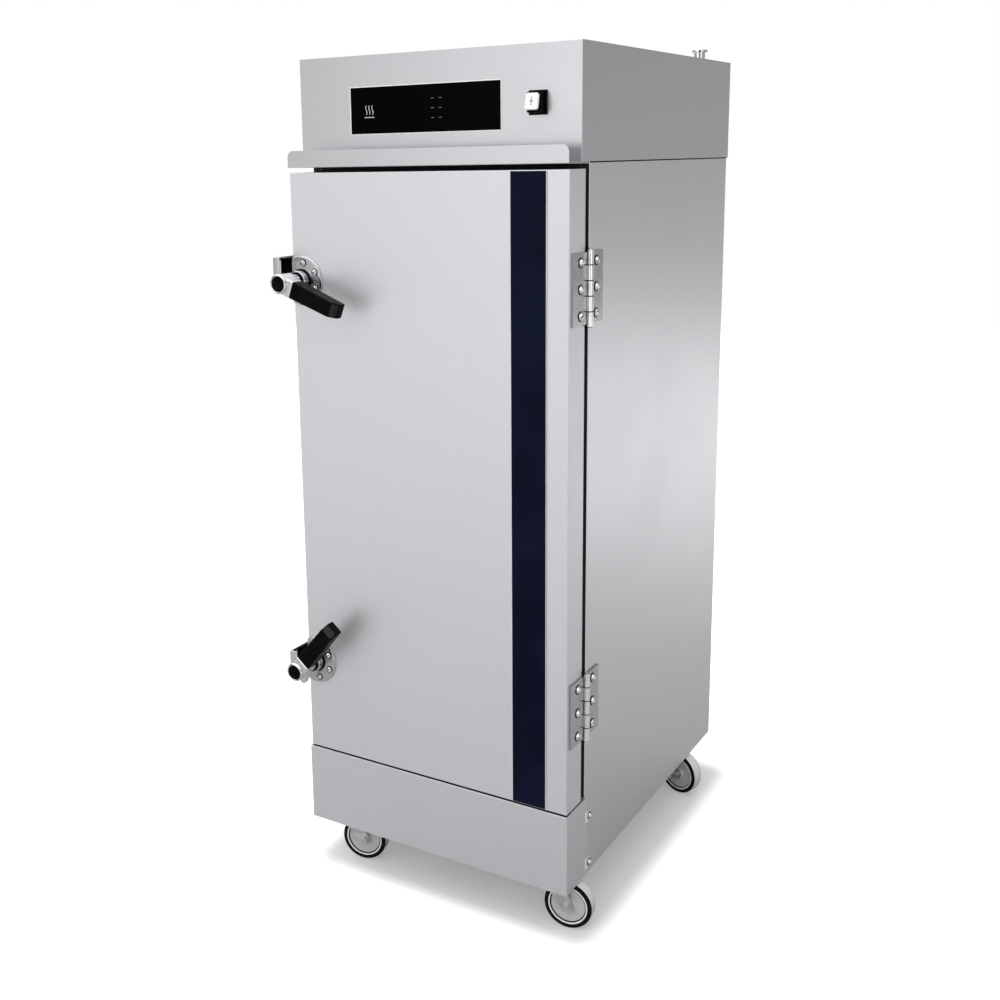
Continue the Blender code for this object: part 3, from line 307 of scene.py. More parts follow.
# %% Dust low down
dusted, place, top, mask = effect("low dust", "Top", 0.2, "Dust")
height = new_node(dusted, "SeparateXYZ", {"Vector": place}).outputs["Z"]
sinking = ranged(dusted, height, 1.0, 0.0, 0.0, top, "SMOOTHSTEP")
specks = new_node(dusted, "TexNoise", {"Vector": place, "Scale": 60.0, "Detail": 6.0})
dusted.links.new(worked_out(dusted, "MULTIPLY", sinking, specks.outputs["Fac"]), mask)
print("group", dusted.name)

# %% [markdown]
# ## Finishes
#
# Each finish is a Principled shader with its effects placed round it. One helper makes the shader, one
# places an effect, and the others let a mask tint the colour, spread the roughness or raise the surface.
# Most finishes are then a short recipe: a colour, a roughness, the size of the clouds on it, and what
# those clouds do.

# %% Finish helpers
def finish(name, colour, roughness, metallic=0.0, shine=0.5):
    """A Principled material. The shine is the strength of what a surface that isn't metal mirrors."""
    material = bpy.data.materials.new(name)
    material.use_nodes = True
    shader = material.node_tree.nodes["Principled BSDF"]
    shader.inputs["Specular IOR Level"].default_value = shine
    shader.inputs["Base Color"].default_value = (*colour, 1)
    shader.inputs["Roughness"].default_value = roughness
    shader.inputs["Metallic"].default_value = metallic
    return material


def follow(material, label, value):
    """Lets an input of the shader follow a value that changes over the surface."""
    material.node_tree.links.new(value, material.node_tree.nodes["Principled BSDF"].inputs[label])


def place_effect(material, group, **values):
    """Puts an effect into a material on the piece's own coordinates, and gives its mask."""
    coordinates = new_node(material.node_tree, "TexCoord").outputs["Object"]
    node = new_node(material.node_tree, "Group", {"Vector": coordinates, **values}, node_tree=group)
    return node.outputs[0]


def tint(material, mask, colours):
    """Colours the surface from one colour to another by the mask."""
    mix = new_node(material.node_tree, "Mix", {"Factor": mask}, data_type="RGBA")
    for socket, colour in zip([item for item in mix.inputs if item.type == "RGBA"], colours):
        socket.default_value = (*colour, 1)
    follow(material, "Base Color", next(item for item in mix.outputs if item.type == "RGBA"))


def bump_by(material, height, depth, strength):
    inputs = {"Height": height, "Distance": depth, "Strength": strength}
    follow(material, "Normal", new_node(material.node_tree, "Bump", inputs).outputs["Normal"])


def marked(material, mask, tints=None, rough=None, skin=None):
    """Lets a mask tint a surface and spread its roughness. A skin is (pits, depth, strength)."""
    if tints:
        tint(material, mask, tints)
    if rough:
        follow(material, "Roughness", ranged(material.node_tree, mask, *rough))
    if skin:
        bump_by(material, place_effect(material, pitted, Pits=skin[0]), *skin[1:])
    return material


def clouded(name, colour, roughness, size, metallic=0.0, shine=0.5, **marks):
    """A finish with clouds of handling of a given size on it."""
    material = finish(name, colour, roughness, metallic, shine)
    return marked(material, place_effect(material, handled, Size=size), **marks)


# %% [markdown]
# ## Steel finishes
#
# Satin sheet is brushed along its length, which leaves lines less than a millimetre apart. They spread a
# highlight but hardly show from two metres away, so their bump is faint and most of their work is in the
# roughness. The door and the sides are brushed upright and the header sideways. Chamber sheet is a little
# darker, and the latches are polished.

# %% Steel finishes
fine_lines = 1400.0
long_lines = 5.0
along = {"X": (long_lines, fine_lines, fine_lines), "Z": (fine_lines, fine_lines, long_lines)}
line_contrast = 0.05
line_depth = 0.00004
line_strength = 0.10
sheet_clouds = 3.5
cloud_roughness = (-0.015, 0.02)


def sheet_steel(name, colour, roughness, grain):
    """Sheet brushed along X or Z."""
    material = finish(name, colour, roughness, 1.0)
    tree = material.node_tree
    line = place_effect(material, brushed, Lines=along[grain])
    cloud = place_effect(material, handled, Size=sheet_clouds)
    paler = tuple(min(1.0, value * (1 + line_contrast)) for value in colour)
    darker = tuple(value * (1 - line_contrast) for value in colour)
    tint(material, line, (darker, paler))
    lined = ranged(tree, line, roughness - line_contrast, roughness + line_contrast)
    follow(material, "Roughness", worked_out(tree, "ADD", lined, ranged(tree, cloud, *cloud_roughness)))
    bump_by(material, line, line_depth, line_strength)
    return material


steel = sheet_steel("brushed_steel", (0.66, 0.66, 0.686), 0.38, "Z")
chamber = sheet_steel("chamber_steel", (0.62, 0.62, 0.63), 0.30, "Z")
door_steel = sheet_steel("door_steel", (0.70, 0.70, 0.727), 0.50, "Z")
kick_steel = sheet_steel("kick_steel", (0.665, 0.667, 0.69), 0.50, "Z")
header_steel = sheet_steel("header_steel", (0.60, 0.602, 0.622), 0.33, "X")
print("sheet steels:", steel.name, chamber.name, door_steel.name, kick_steel.name, header_steel.name)

# %% Polished, plated and cast metals
def metal(name, colour, roughness, size, **marks):
    """A clouded finish of bare metal."""
    return clouded(name, colour, roughness, size, metallic=1.0, **marks)


chrome = metal(
    "polished_steel", (0.66, 0.66, 0.675), 0.11, size=90.0, rough=(0.07, 0.17), skin=(900.0, 0.00003, 0.12)
)
screw_steel = metal("screw_steel", (0.84, 0.84, 0.85), 0.14, size=300.0, rough=(0.10, 0.20))
bright_sheet = metal(
    "bright_sheet", (0.92, 0.92, 0.93), 0.65, size=80.0,
    tints=((0.86, 0.86, 0.87), (0.95, 0.95, 0.96)), rough=(0.58, 0.72),
)
leaf_steel = metal(
    "leaf_steel", (0.48, 0.48, 0.495), 0.22, size=60.0,
    tints=((0.45, 0.45, 0.465), (0.48, 0.48, 0.495)), rough=(0.20, 0.25), skin=(800.0, 0.00003, 0.12),
)
brass = metal(
    "brass", (0.72, 0.55, 0.28), 0.30, size=70.0,
    tints=((0.50, 0.36, 0.17), (0.76, 0.60, 0.32)), rough=(0.22, 0.42), skin=(650.0, 0.00005, 0.2),
)

zinc = finish("zinc_steel", (0.60, 0.61, 0.62), 0.36, 1.0)
cloud = place_effect(zinc, handled, Size=40.0)
marked(zinc, cloud, tints=((0.50, 0.51, 0.53), (0.68, 0.69, 0.70)), skin=(500.0, 0.00005, 0.15))
dust = place_effect(zinc, dusted, Top=0.16)
tree = zinc.node_tree
handled_rough = ranged(tree, cloud, 0.28, 0.42)
follow(zinc, "Roughness", worked_out(tree, "ADD", handled_rough, ranged(tree, dust, 0, 0.3)))
print("polished, plated and brass")

# %% [markdown]
# ## Plastics, rubber and glass
#
# Moulded black plastic has a faint leather of pits that breaks up its shine. The switch is smooth and
# white. The control glass is deep black and glossy. Tyres are matt and gather dust low down.

# %% Plastics
moulded = (1300.0, 0.00008, 0.25)
black = clouded(
    "black_plastic", (0.0015, 0.0015, 0.0018), 0.38, size=45.0, shine=0.04,
    tints=((0.001, 0.001, 0.0012), (0.0028, 0.0028, 0.0032)), rough=(0.30, 0.46), skin=moulded,
)
# A paler black for the grip's sloping end, a painted highlight. Its pits and clouds are the moulding's own.
worn_black = clouded(
    "worn_black", (0.012, 0.012, 0.013), 0.50, size=160.0, shine=0.2,
    tints=((0.008, 0.008, 0.009), (0.018, 0.019, 0.020)), rough=(0.42, 0.62), skin=moulded,
)
white = clouded(
    "white_plastic", (0.84, 0.84, 0.82), 0.26, size=120.0,
    tints=((0.80, 0.80, 0.77), (0.86, 0.86, 0.845)), rough=(0.22, 0.32),
)
navy = clouded(
    "navy_film", (0.003, 0.004, 0.017), 0.34, size=8.0, shine=0.04,
    tints=((0.0025, 0.0035, 0.014), (0.004, 0.006, 0.021)), rough=(0.28, 0.42), skin=(260.0, 0.00003, 0.10),
)
glass = clouded("black_glass", (0.0006, 0.0006, 0.0008), 0.07, size=25.0, shine=0.02, rough=(0.04, 0.13))
print("plastics, film and glass")

# %% Rubber, wheel plastic and foam
dust_top = 0.12
seal = clouded(
    "seal_rubber", (0.021, 0.021, 0.023), 0.62, size=35.0, shine=0.2,
    tints=((0.018, 0.018, 0.020), (0.024, 0.024, 0.026)), skin=(400.0, 0.0001, 0.2),
)
tyre = finish("wheel_rubber", (0.003, 0.003, 0.0035), 0.55, shine=0.08)
marked(
    tyre, place_effect(tyre, dusted, Top=dust_top),
    tints=((0.002, 0.002, 0.0023), (0.009, 0.009, 0.0085)), rough=(0.45, 0.85), skin=(420.0, 0.00015, 0.25),
)


def wheel_plastic(name, pale, dull):
    material = finish(name, pale, 0.45)
    dust = place_effect(material, dusted, Top=dust_top)
    return marked(material, dust, tints=(pale, dull), rough=(0.36, 0.70), skin=(600.0, 0.0001, 0.15))


wheel_grey = wheel_plastic("wheel_grey", (0.58, 0.58, 0.59), (0.38, 0.37, 0.35))
tread_grey = wheel_plastic("tread_grey", (0.70, 0.70, 0.71), (0.34, 0.33, 0.32))
ring_white = wheel_plastic("ring_white", (0.90, 0.90, 0.91), (0.74, 0.73, 0.71))

foam = finish("foam", (0.78, 0.70, 0.47), 0.92)
cells = place_effect(foam, pitted, Pits=240.0)
tint(foam, cells, ((0.62, 0.53, 0.32), (0.84, 0.77, 0.55)))
bump_by(foam, cells, 0.0008, 0.6)
print("rubber, wheel plastic and foam")

# %% [markdown]
# ## Helpers for shapes
#
# A piece is a bmesh that becomes one object at the origin and rides on a body. Most shapes start from a
# few bmesh operators: a box whose edges are rounded, a profile that is spun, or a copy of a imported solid
# whose sheet edges get a small radius. A rounded edge is what catches a line of light on real sheet
# metal.

# %% Making a piece
smooth_below = math.radians(38)


def add(name, shape, look, body, nodes=()):
    """The bmesh as a piece on a body. It takes its finish's slot, and stands for the given solids."""
    mesh = bpy.data.meshes.new(name)
    shape.to_mesh(mesh)
    shape.free()
    mesh.materials.append(look)
    mesh.shade_smooth()
    mesh.set_sharp_from_angle(angle=smooth_below)
    item = new_object(name, mesh)
    weighted = item.modifiers.new("even shading", "WEIGHTED_NORMAL")
    weighted.keep_sharp = True
    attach(item, body)
    if nodes:
        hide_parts(*nodes)
    return item


# %% Boxes and edges
weld = 0.000002
round_above = math.radians(35)


def box_shape(low, high):
    shape = bmesh.new()
    low = Vector(low)
    high = Vector(high)
    place = Matrix.Translation((low + high) / 2) @ Matrix.Diagonal((*(high - low), 1))
    bmesh.ops.create_cube(shape, size=1, matrix=place)
    return shape


def bevelled(shape, edges, radius, segments):
    bmesh.ops.bevel(
        shape, geom=edges, offset=radius, segments=segments, profile=0.5, affect="EDGES", clamp_overlap=True,
        material=-1,
    )
    return shape


def rounded(shape, radius, segments=3, where=None):
    """Rounds the shape's sharp edges, or only those that the test picks."""
    shape.normal_update()
    inner = [edge for edge in shape.edges if len(edge.link_faces) == 2]
    sharp = [edge for edge in inner if edge.calc_face_angle() > round_above]
    return bevelled(shape, [edge for edge in sharp if where is None or where(edge)], radius, segments)


def running_along(shape, axis):
    """The edges that go some way along X, Y or Z."""
    index = "XYZ".index(axis)
    return [edge for edge in shape.edges if abs(edge.verts[0].co[index] - edge.verts[1].co[index]) > weld]


def sliced(shape, place, outward, drop=False):
    """Cuts the shape along a plane, and where told to drops what is beyond it. Gives the cut."""
    return bmesh.ops.bisect_plane(
        shape, geom=shape.verts[:] + shape.edges[:] + shape.faces[:], dist=weld, plane_co=place,
        plane_no=outward, clear_outer=drop,
    )["geom_cut"]


# %% Turned and pulled shapes
def spun(profile, axis, steps=48):
    """A profile of (radius, place along the axis) spun about X, Y or Z."""
    along = {"X": Vector((1, 0, 0)), "Y": Vector((0, 1, 0)), "Z": Vector((0, 0, 1))}[axis]
    across = Vector((0, 0, 1)) if axis == "X" else Vector((1, 0, 0))
    shape = bmesh.new()
    points = [shape.verts.new(across * radius + along * place) for radius, place in profile]
    edges = [shape.edges.new(pair) for pair in zip(points, points[1:])]
    if min(radius for radius, place in profile) > 0:
        edges.append(shape.edges.new((points[-1], points[0])))
    bmesh.ops.spin(
        shape, geom=points + edges, axis=along, cent=(0, 0, 0), angle=math.tau, steps=steps, use_merge=True
    )
    bmesh.ops.remove_doubles(shape, verts=shape.verts, dist=weld)
    bmesh.ops.recalc_face_normals(shape, faces=shape.faces)
    return shape


def rod(radius, start, end, axis, steps=48):
    """A plain round bar."""
    return spun([(0, start), (radius, start), (radius, end), (0, end)], axis, steps)


def mirrored(outline):
    """The outline turned over about its middle height, for the other end of a turned part."""
    return [(across, -height) for across, height in reversed(outline)]


def pulled(outline, axis, low, high):
    """A flat outline of a few corners, pulled along an axis."""
    lift = {
        "X": lambda a, b, c: (c, a, b),
        "Y": lambda a, b, c: (a, c, b),
        "Z": lambda a, b, c: (a, b, c),
    }[axis]
    shape = bmesh.new()
    face = shape.faces.new([shape.verts.new(lift(a, b, low)) for a, b in outline])
    out = bmesh.ops.extrude_face_region(shape, geom=[face])["geom"]
    moving = [item for item in out if isinstance(item, bmesh.types.BMVert)]
    bmesh.ops.translate(shape, verts=moving, vec=lift(0, 0, high - low))
    bmesh.ops.recalc_face_normals(shape, faces=shape.faces)
    return shape


# %% Placing and joining
def placed(shape, matrix):
    bmesh.ops.transform(shape, matrix=matrix, verts=shape.verts)
    return shape


def together(shapes):
    """Several shapes as one bmesh."""
    whole = bmesh.new()
    for shape in shapes:
        mesh = bpy.data.meshes.new("part")
        shape.to_mesh(mesh)
        shape.free()
        whole.from_mesh(mesh)
        bpy.data.meshes.remove(mesh)
    return whole


def combined(base, others, operation="UNION"):
    """The base joined with, or cut by, the other shapes."""
    stand_ins = []
    for shape in (base, *others):
        mesh = bpy.data.meshes.new("boolean part")
        shape.to_mesh(mesh)
        shape.free()
        stand_ins.append(new_object("boolean part", mesh))
    for other in stand_ins[1:]:
        modifier = stand_ins[0].modifiers.new("join", "BOOLEAN")
        modifier.operation = operation
        modifier.object = other
    graph = bpy.context.evaluated_depsgraph_get()
    result = bmesh.new()
    result.from_mesh(stand_ins[0].evaluated_get(graph).to_mesh())
    for stand_in in stand_ins:
        mesh = stand_in.data
        bpy.data.objects.remove(stand_in)
        bpy.data.meshes.remove(mesh)
    bmesh.ops.remove_doubles(result, verts=result.verts, dist=weld)
    return result


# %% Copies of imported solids
flat_below = math.radians(1.0)
same_plane = 0.0001


def copied(node):
    """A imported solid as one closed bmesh, its triangles gathered into whole faces."""
    mesh = frame["nodes"][node].data.copy()
    if mesh.has_custom_normals:
        mesh.attributes.remove(mesh.attributes["custom_normal"])
    shape = bmesh.new()
    shape.from_mesh(mesh)
    bpy.data.meshes.remove(mesh)
    bmesh.ops.remove_doubles(shape, verts=shape.verts, dist=weld)
    bmesh.ops.dissolve_limit(shape, angle_limit=flat_below, verts=shape.verts, edges=shape.edges)
    return shape


def on_folds(node, folds):
    """A test for edges that lie on two outer faces of the node's box, such as "-Y +X"."""
    low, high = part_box(node)
    places = {"-": low, "+": high}

    def lies(edge, face):
        sign, axis = face
        index = "XYZ".index(axis)
        return all(abs(corner.co[index] - places[sign][index]) < same_plane for corner in edge.verts)

    return lambda edge: any(all(lies(edge, face) for face in fold.split()) for fold in folds)


def softened(node, look, edge=0.0004, folds=(), fold_radius=0.0018):
    """Stands a copy of the solid in its place, with its folds and its cut edges rounded."""
    shape = copied(node)
    if folds:
        rounded(shape, fold_radius, 4, on_folds(node, folds))
    rounded(shape, edge, 2)
    return add(node + "_made", shape, look, frame["nodes"][node]["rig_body"], [node])


# %% [markdown]
# ## Casing
#
# The casing is folded from sheet, so its outer corners have a radius of about 2 mm and its cut edges are
# only deburred. The same helper does every panel, told which edges of its box are folds.

# %% Casing panels
front_folds = ("-Y -X", "-Y +X", "-Y -Z", "-Y +Z")
for node, look, folds in (
    ("side_panel_left", steel, ("-X -Y", "-X +Y")),
    ("side_panel_right", steel, ("+X -Y", "+X +Y")),
    ("back_panel", steel, ()),
    ("header_shell", header_steel, ("+Z -X", "+Z +X")),
    ("header_fascia", header_steel, front_folds),
    ("header_rear_cover", header_steel, ("+Y -X", "+Y +X", "+Y +Z")),
    ("visor", header_steel, ("-Y -Z",)),
    ("kick_panel", kick_steel, ("-Y -X", "-Y +X", "-Y +Z", "+Z -X", "+Z +X")),
    ("door_skin", door_steel, front_folds),
):
    softened(node, look, folds=folds)
for node in ("header_floor", "base_frame"):
    softened(node, zinc)
print("casing panels rounded")

# %% [markdown]
# ## Chamber
#
# Behind the door the liner is one welded box, with the racks and the baffle in it. The frame goes round
# its mouth, and the door's inner panel closes it with a seal. The seal is a soft silicone moulding, so its
# edges get a generous radius. The foam between the walls shows from nowhere, so its solids only get a
# finish.

# %% Chamber pieces
for node in ("door_inner_panel", "front_frame", "inner_liner", "baffle_plate"):
    softened(node, chamber)
for side in sides:
    softened("rack_" + side, chamber, edge=0.0003)
seal_shape = rounded(copied("door_gasket"), 0.0022, 4)
add("door_gasket_moulded", seal_shape, seal, "door", ["door_gasket"])
for node in ("insulation", "door_foam"):
    frame["nodes"][node].data.materials.clear()
    frame["nodes"][node].data.materials.append(foam)
print("chamber dressed")

# %% [markdown]
# ## Screws
#
# Round-headed screws hold the hinges, the latches, the keepers and the outer panels. A head is a spun dome
# on a washer with a slot across it. The dome is cut along both sides of the slot, and what lies between is
# pushed down. Each screw is given a turn, because a real one stops at any angle. Most sizes follow from the
# head's radius and height, so they are kept as shares of those.

# %% Screw heads
slot_share = 0.18
slot_floor_share = 0.45
washer = 0.0012
washer_share = 1.22
# Painted shade: a black ring under each head and a black fill in its slot stand for the shade there.
shadow_shares = (0.9, 1.58)
shadow_thickness_share = 0.6
slot_shade_share = 0.94
slot_shade_rise_share = 0.12


def slotted_head(radius, height):
    """A domed head on the XY plane, rising along +Z, with a slot along X."""
    slot_half = radius * slot_share
    slot_floor = washer + height * slot_floor_share
    dome = [(0, washer + height)]
    steps = 5
    for step in range(1, steps + 1):
        angle = math.radians(90) * step / steps
        dome.append((radius * math.sin(angle), washer + height * math.cos(angle)))
    rim = [(radius * washer_share, washer), (radius * washer_share, 0), (0, 0)]
    shape = spun(dome + rim, "Z", 24)
    for side in (-1, 1):
        sliced(shape, (0, side * slot_half, 0), (0, 1, 0))
    for corner in shape.verts:
        if abs(corner.co.y) < slot_half - weld and corner.co.z > slot_floor:
            corner.co.z = slot_floor
    return shape


def screw_shadow(radius, height):
    """The black ring under a head and the black fill in its slot, both painted shade."""
    inner, outer = [radius * share for share in shadow_shares]
    top = washer * shadow_thickness_share
    ring = [(inner, 0), (outer, 0), (outer, top), (inner, top)]
    slot_shade_top = washer + height * (slot_floor_share + slot_shade_rise_share)
    slot_shade = box_shape(
        (-radius * slot_shade_share, -radius * slot_share, washer),
        (radius * slot_shade_share, radius * slot_share, slot_shade_top),
    )
    return together([spun(ring, "Z", 28), slot_shade])


def screws(name, places, body, radius, height, look=screw_steel, slot="polished_steel"):
    """Heads at (place, outward direction, angle) as one piece, and their painted shade as another."""
    heads = []
    shadows = []
    for place, outward, angle in places:
        stand = Vector(outward).to_track_quat("Z", "Y").to_matrix().to_4x4()
        matrix = Matrix.Translation(place) @ stand @ Matrix.Rotation(math.radians(angle), 4, "Z")
        heads.append(placed(slotted_head(radius, height), matrix))
        shadows.append(placed(screw_shadow(radius, height), matrix))
    add(name + "_dark", together(shadows), black, body)
    return add(name, together(heads), look, body)


# %% [markdown]
# ## Hinges
#
# Each hinge has two plates, five knuckles and a pin. Three screws hold each plate, one near each end and one
# in the middle, set half way between the barrel and the plate's free edge. Each knuckle gets a thin spun
# skin of brighter steel than the flat plates, a painted highlight on the rolled barrel. Black rims between
# the knuckles are painted shade in the gaps, and each rim turns with its own knuckle, so that nothing rubs
# as the door opens.

# %% Hinges
hinge_screw_drop = 0.047
hinge_screw_back = 0.029
hinge_screw_turns = (25, 70, -35)
hinge_screw_size = (0.0060, 0.0052)
leaf_proud = 0.0033
knuckle_count = 5
knuckle_steps = 40
knuckle_skin = 0.00015
knuckle_gap = 0.0003
knuckle_bore = 0.0050
knuckle_end = 0.0007
rim_depth = 0.0004
rim_proud = 0.0001
rim_thickness = 0.0005

for level in levels:
    softened("hinge_pin_" + level, chrome, edge=0.0005)
    for part in ("body_leaf", "door_leaf"):
        softened(f"hinge_{part}_{level}", leaf_steel, edge=0.0007)
    low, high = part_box("hinge_body_leaf_" + level)
    middle = ((low + high) / 2).z
    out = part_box("side_panel_right")[1].x + leaf_proud
    heights = (middle + hinge_screw_drop, middle, middle - hinge_screw_drop)
    for leaf, body, y, more_turn in (
        ("body", "root", high.y - hinge_screw_back, 0),
        ("door", "door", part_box("hinge_door_leaf_" + level)[0].y + hinge_screw_back, 40),
    ):
        at = [((out, y, z), (1, 0, 0), turn + more_turn) for z, turn in zip(heights, hinge_screw_turns)]
        screws(f"hinge_{leaf}_screws_{level}", at, body, *hinge_screw_size)
    pin_low, pin_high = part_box("hinge_pin_" + level)
    axis = (pin_low + pin_high) / 2
    pitch = (high.z - low.z + knuckle_gap) / knuckle_count
    radius = high.x - axis.x + knuckle_skin
    barrel_foot = (low.z + high.z - knuckle_count * pitch) / 2
    end = pitch / 2 - knuckle_end
    skin = [(knuckle_bore, -end), (radius - rim_depth, -end), (radius, rim_depth - end)]
    skin += mirrored(skin)
    rim_high = [(radius - rim_depth, end), (radius + rim_proud, end)]
    rim_high += [(radius + rim_proud, end + rim_thickness), (radius - rim_depth, end + rim_thickness)]
    for body, first in (("root", 0), ("door", 1)):
        knuckles = []
        rims = []
        for number in range(first, knuckle_count, 2):
            axis.z = barrel_foot + pitch * (number + 0.5)
            knuckles.append(placed(spun(skin, "Z", knuckle_steps), Matrix.Translation(axis)))
            if number > 0:
                rims.append(placed(spun(mirrored(rim_high), "Z", knuckle_steps), Matrix.Translation(axis)))
            if number < knuckle_count - 1:
                rims.append(placed(spun(rim_high, "Z", knuckle_steps), Matrix.Translation(axis)))
        # The bright knuckle skins are a painted highlight, and the black rims are painted shade.
        add(f"hinge_knuckles_{body}_{level}", together(knuckles), screw_steel, body)
        add(f"hinge_gap_shades_{body}_{level}", together(rims), black, body)
print(len(levels), "hinges of", knuckle_count, "knuckles")

# %% [markdown]
# ## Latches
#
# A latch is a flange screwed to the door, a cast lever on a spindle, a black plug in the end of its boss
# and a moulded grip. The lever is the most looked-at part of the front, so it is built afresh: a spun
# boss, a socket and a tongue with rounded edges, joined by Booleans. All of it is drawn about the
# spindle, with the lever along +X and the outside towards -Y, and then turned into place about the
# joint's own axis.

# %% Flange on the door
flange_radius = 0.049
flange_thickness = 0.004
hub_radius = 0.0205
hub_reach = 0.0205
spindle_hole = 0.0083
ring_radius = 0.0178


def latch_flange(edge):
    """The round flange with its hub, cut off straight at the door's edge."""
    profile = [
        (spindle_hole, -0.0003),
        (spindle_hole, -hub_reach),
        (hub_radius - 0.0015, -hub_reach),
        (hub_radius, -hub_reach + 0.0015),
        (hub_radius, -flange_thickness - 0.0025),
        (hub_radius + 0.0008, -flange_thickness - 0.0008),
        (hub_radius + 0.0025, -flange_thickness),
        (flange_radius - 0.006, -flange_thickness),
        (flange_radius - 0.002, -flange_thickness + 0.0006),
        (flange_radius - 0.0005, -flange_thickness + 0.0018),
        (flange_radius, -flange_thickness / 2 + 0.0012),
        (flange_radius, -0.0003),
    ]
    shape = spun(profile, "Y", 72)
    cut = sliced(shape, (edge, 0, 0), (-1, 0, 0), drop=True)
    bmesh.ops.holes_fill(shape, edges=[item for item in cut if isinstance(item, bmesh.types.BMEdge)])
    return rounded(
        shape, 0.0006, 2, lambda side: all(abs(corner.co.x - edge) < same_plane for corner in side.verts)
    )


def latch_shade_rings():
    """Two black rings of painted shade: one in the corner between flange and hub, and one under the lever.
    """
    foot = [
        (hub_radius - 0.0004, -flange_thickness + 0.0002),
        (hub_radius + 0.0031, -flange_thickness + 0.0002),
        (hub_radius + 0.0028, -flange_thickness - 0.0016),
        (hub_radius - 0.0004, -flange_thickness - 0.0034),
    ]
    under_lever = [
        (spindle_hole + 0.001, -hub_reach + 0.0002),
        (ring_radius, -hub_reach + 0.0002),
        (ring_radius, -hub_reach - 0.0014),
        (spindle_hole + 0.001, -hub_reach - 0.0014),
    ]
    return together([spun(foot, "Y", 56), spun(under_lever, "Y", 56)])


# %% Lever and plug
boss_radius = 0.0195
boss_start = 0.040
latch_reach = 0.080
cam_radius = 0.015
socket_length = 0.030
socket_half = 0.0170
socket_low = 0.0445
socket_high = 0.0750
tongue_turn = math.radians(201)
tongue_length = 0.044
tongue_half = 0.007
tongue_low = 0.0240
tongue_high = 0.0365
plug_radius = 0.0150
plug_dome = 0.0016


def latch_lever():
    profile = [
        (0, -0.002),
        (0.008, -0.002),
        (0.008, -0.0222),
        (cam_radius - 0.001, -0.0222),
        (cam_radius, -0.0232),
        (cam_radius, -boss_start),
        (boss_radius - 0.0015, -boss_start - 0.0022),
        (boss_radius, -boss_start - 0.0045),
        (boss_radius, -latch_reach + 0.0050),
        (boss_radius - 0.0006, -latch_reach + 0.0025),
        (boss_radius - 0.0020, -latch_reach + 0.0012),
        (plug_radius + 0.0010, -latch_reach + 0.0008),
        (plug_radius + 0.0003, -latch_reach + 0.0015),
        (plug_radius + 0.0003, -latch_reach + 0.0050),
        (0, -latch_reach + 0.0050),
    ]
    boss = spun(profile, "Y", 64)
    socket = box_shape((0, -socket_high, -socket_half), (socket_length, -socket_low, socket_half))
    rounded(socket, 0.0030, 4)
    shoulder = tongue_length - tongue_half / 2
    outline = [
        (0, -tongue_half), (shoulder, -tongue_half), (tongue_length, -tongue_half / 2),
        (tongue_length, tongue_half / 2), (shoulder, tongue_half), (0, tongue_half),
    ]
    tongue = rounded(pulled(outline, "Y", -tongue_high, -tongue_low), 0.0018, 3)
    placed(tongue, Matrix.Rotation(-tongue_turn, 4, "Y"))
    rib = pulled([(0.002, -0.030), (0.026, -0.046), (0.026, -0.052), (0.002, -0.052)], "Z", -0.005, 0.005)
    return combined(boss, [socket, tongue, rounded(rib, 0.0015, 3)])


def latch_plug():
    """A shallow dome. Its last point lies on the axis."""
    dome = [(0, -latch_reach + 0.0048), (plug_radius, -latch_reach + 0.0048)]
    dome.append((plug_radius, -latch_reach + plug_dome))
    steps = 6
    for step in range(1, steps + 1):
        angle = math.radians(90) * step / steps
        across = plug_radius * math.cos(angle) if step < steps else 0
        dome.append((across, -latch_reach + plug_dome * (1 - math.sin(angle))))
    return spun(dome, "Y", 48)


# %% Grip and its end pad
grip_end = 0.137
grip_middle = (socket_low + socket_high) / 2
grip_half_thick = 0.0145
grip_half_near = 0.0168
grip_half_far = 0.0145
grip_bevel = 0.013


def latch_grip():
    """A tapered moulding whose outer face slopes back at its far end."""
    start = socket_length + 0.0003
    shape = box_shape((start, -1, -1), (grip_end, 1, 1))
    for corner in shape.verts:
        half = grip_half_near if corner.co.x < (start + grip_end) / 2 else grip_half_far
        corner.co.y = -grip_middle + math.copysign(grip_half_thick, corner.co.y)
        corner.co.z = math.copysign(half, corner.co.z)
    slope = [
        edge for edge in shape.edges
        if all(corner.co.x > grip_end - weld and corner.co.y < -grip_middle for corner in edge.verts)
    ]
    bevelled(shape, slope, grip_bevel, 1)
    bevelled(shape, running_along(shape, "X"), 0.0022, 3)
    return rounded(shape, 0.0004, 2)


def grip_end_pad():
    """A paler pad let into the sloping end of the grip: a painted highlight on that face."""
    pad = box_shape((-0.0072, -0.0002, -0.0122), (0.0072, 0.0003, 0.0122))
    bevelled(pad, running_along(pad, "Y"), 0.0036, 5)
    rounded(pad, 0.0001, 1)
    middle = Vector((grip_end - grip_bevel / 2, -grip_middle - grip_half_thick + grip_bevel / 2, 0))
    return placed(pad, Matrix.Translation(middle) @ Matrix.Rotation(math.radians(45), 4, "Z"))


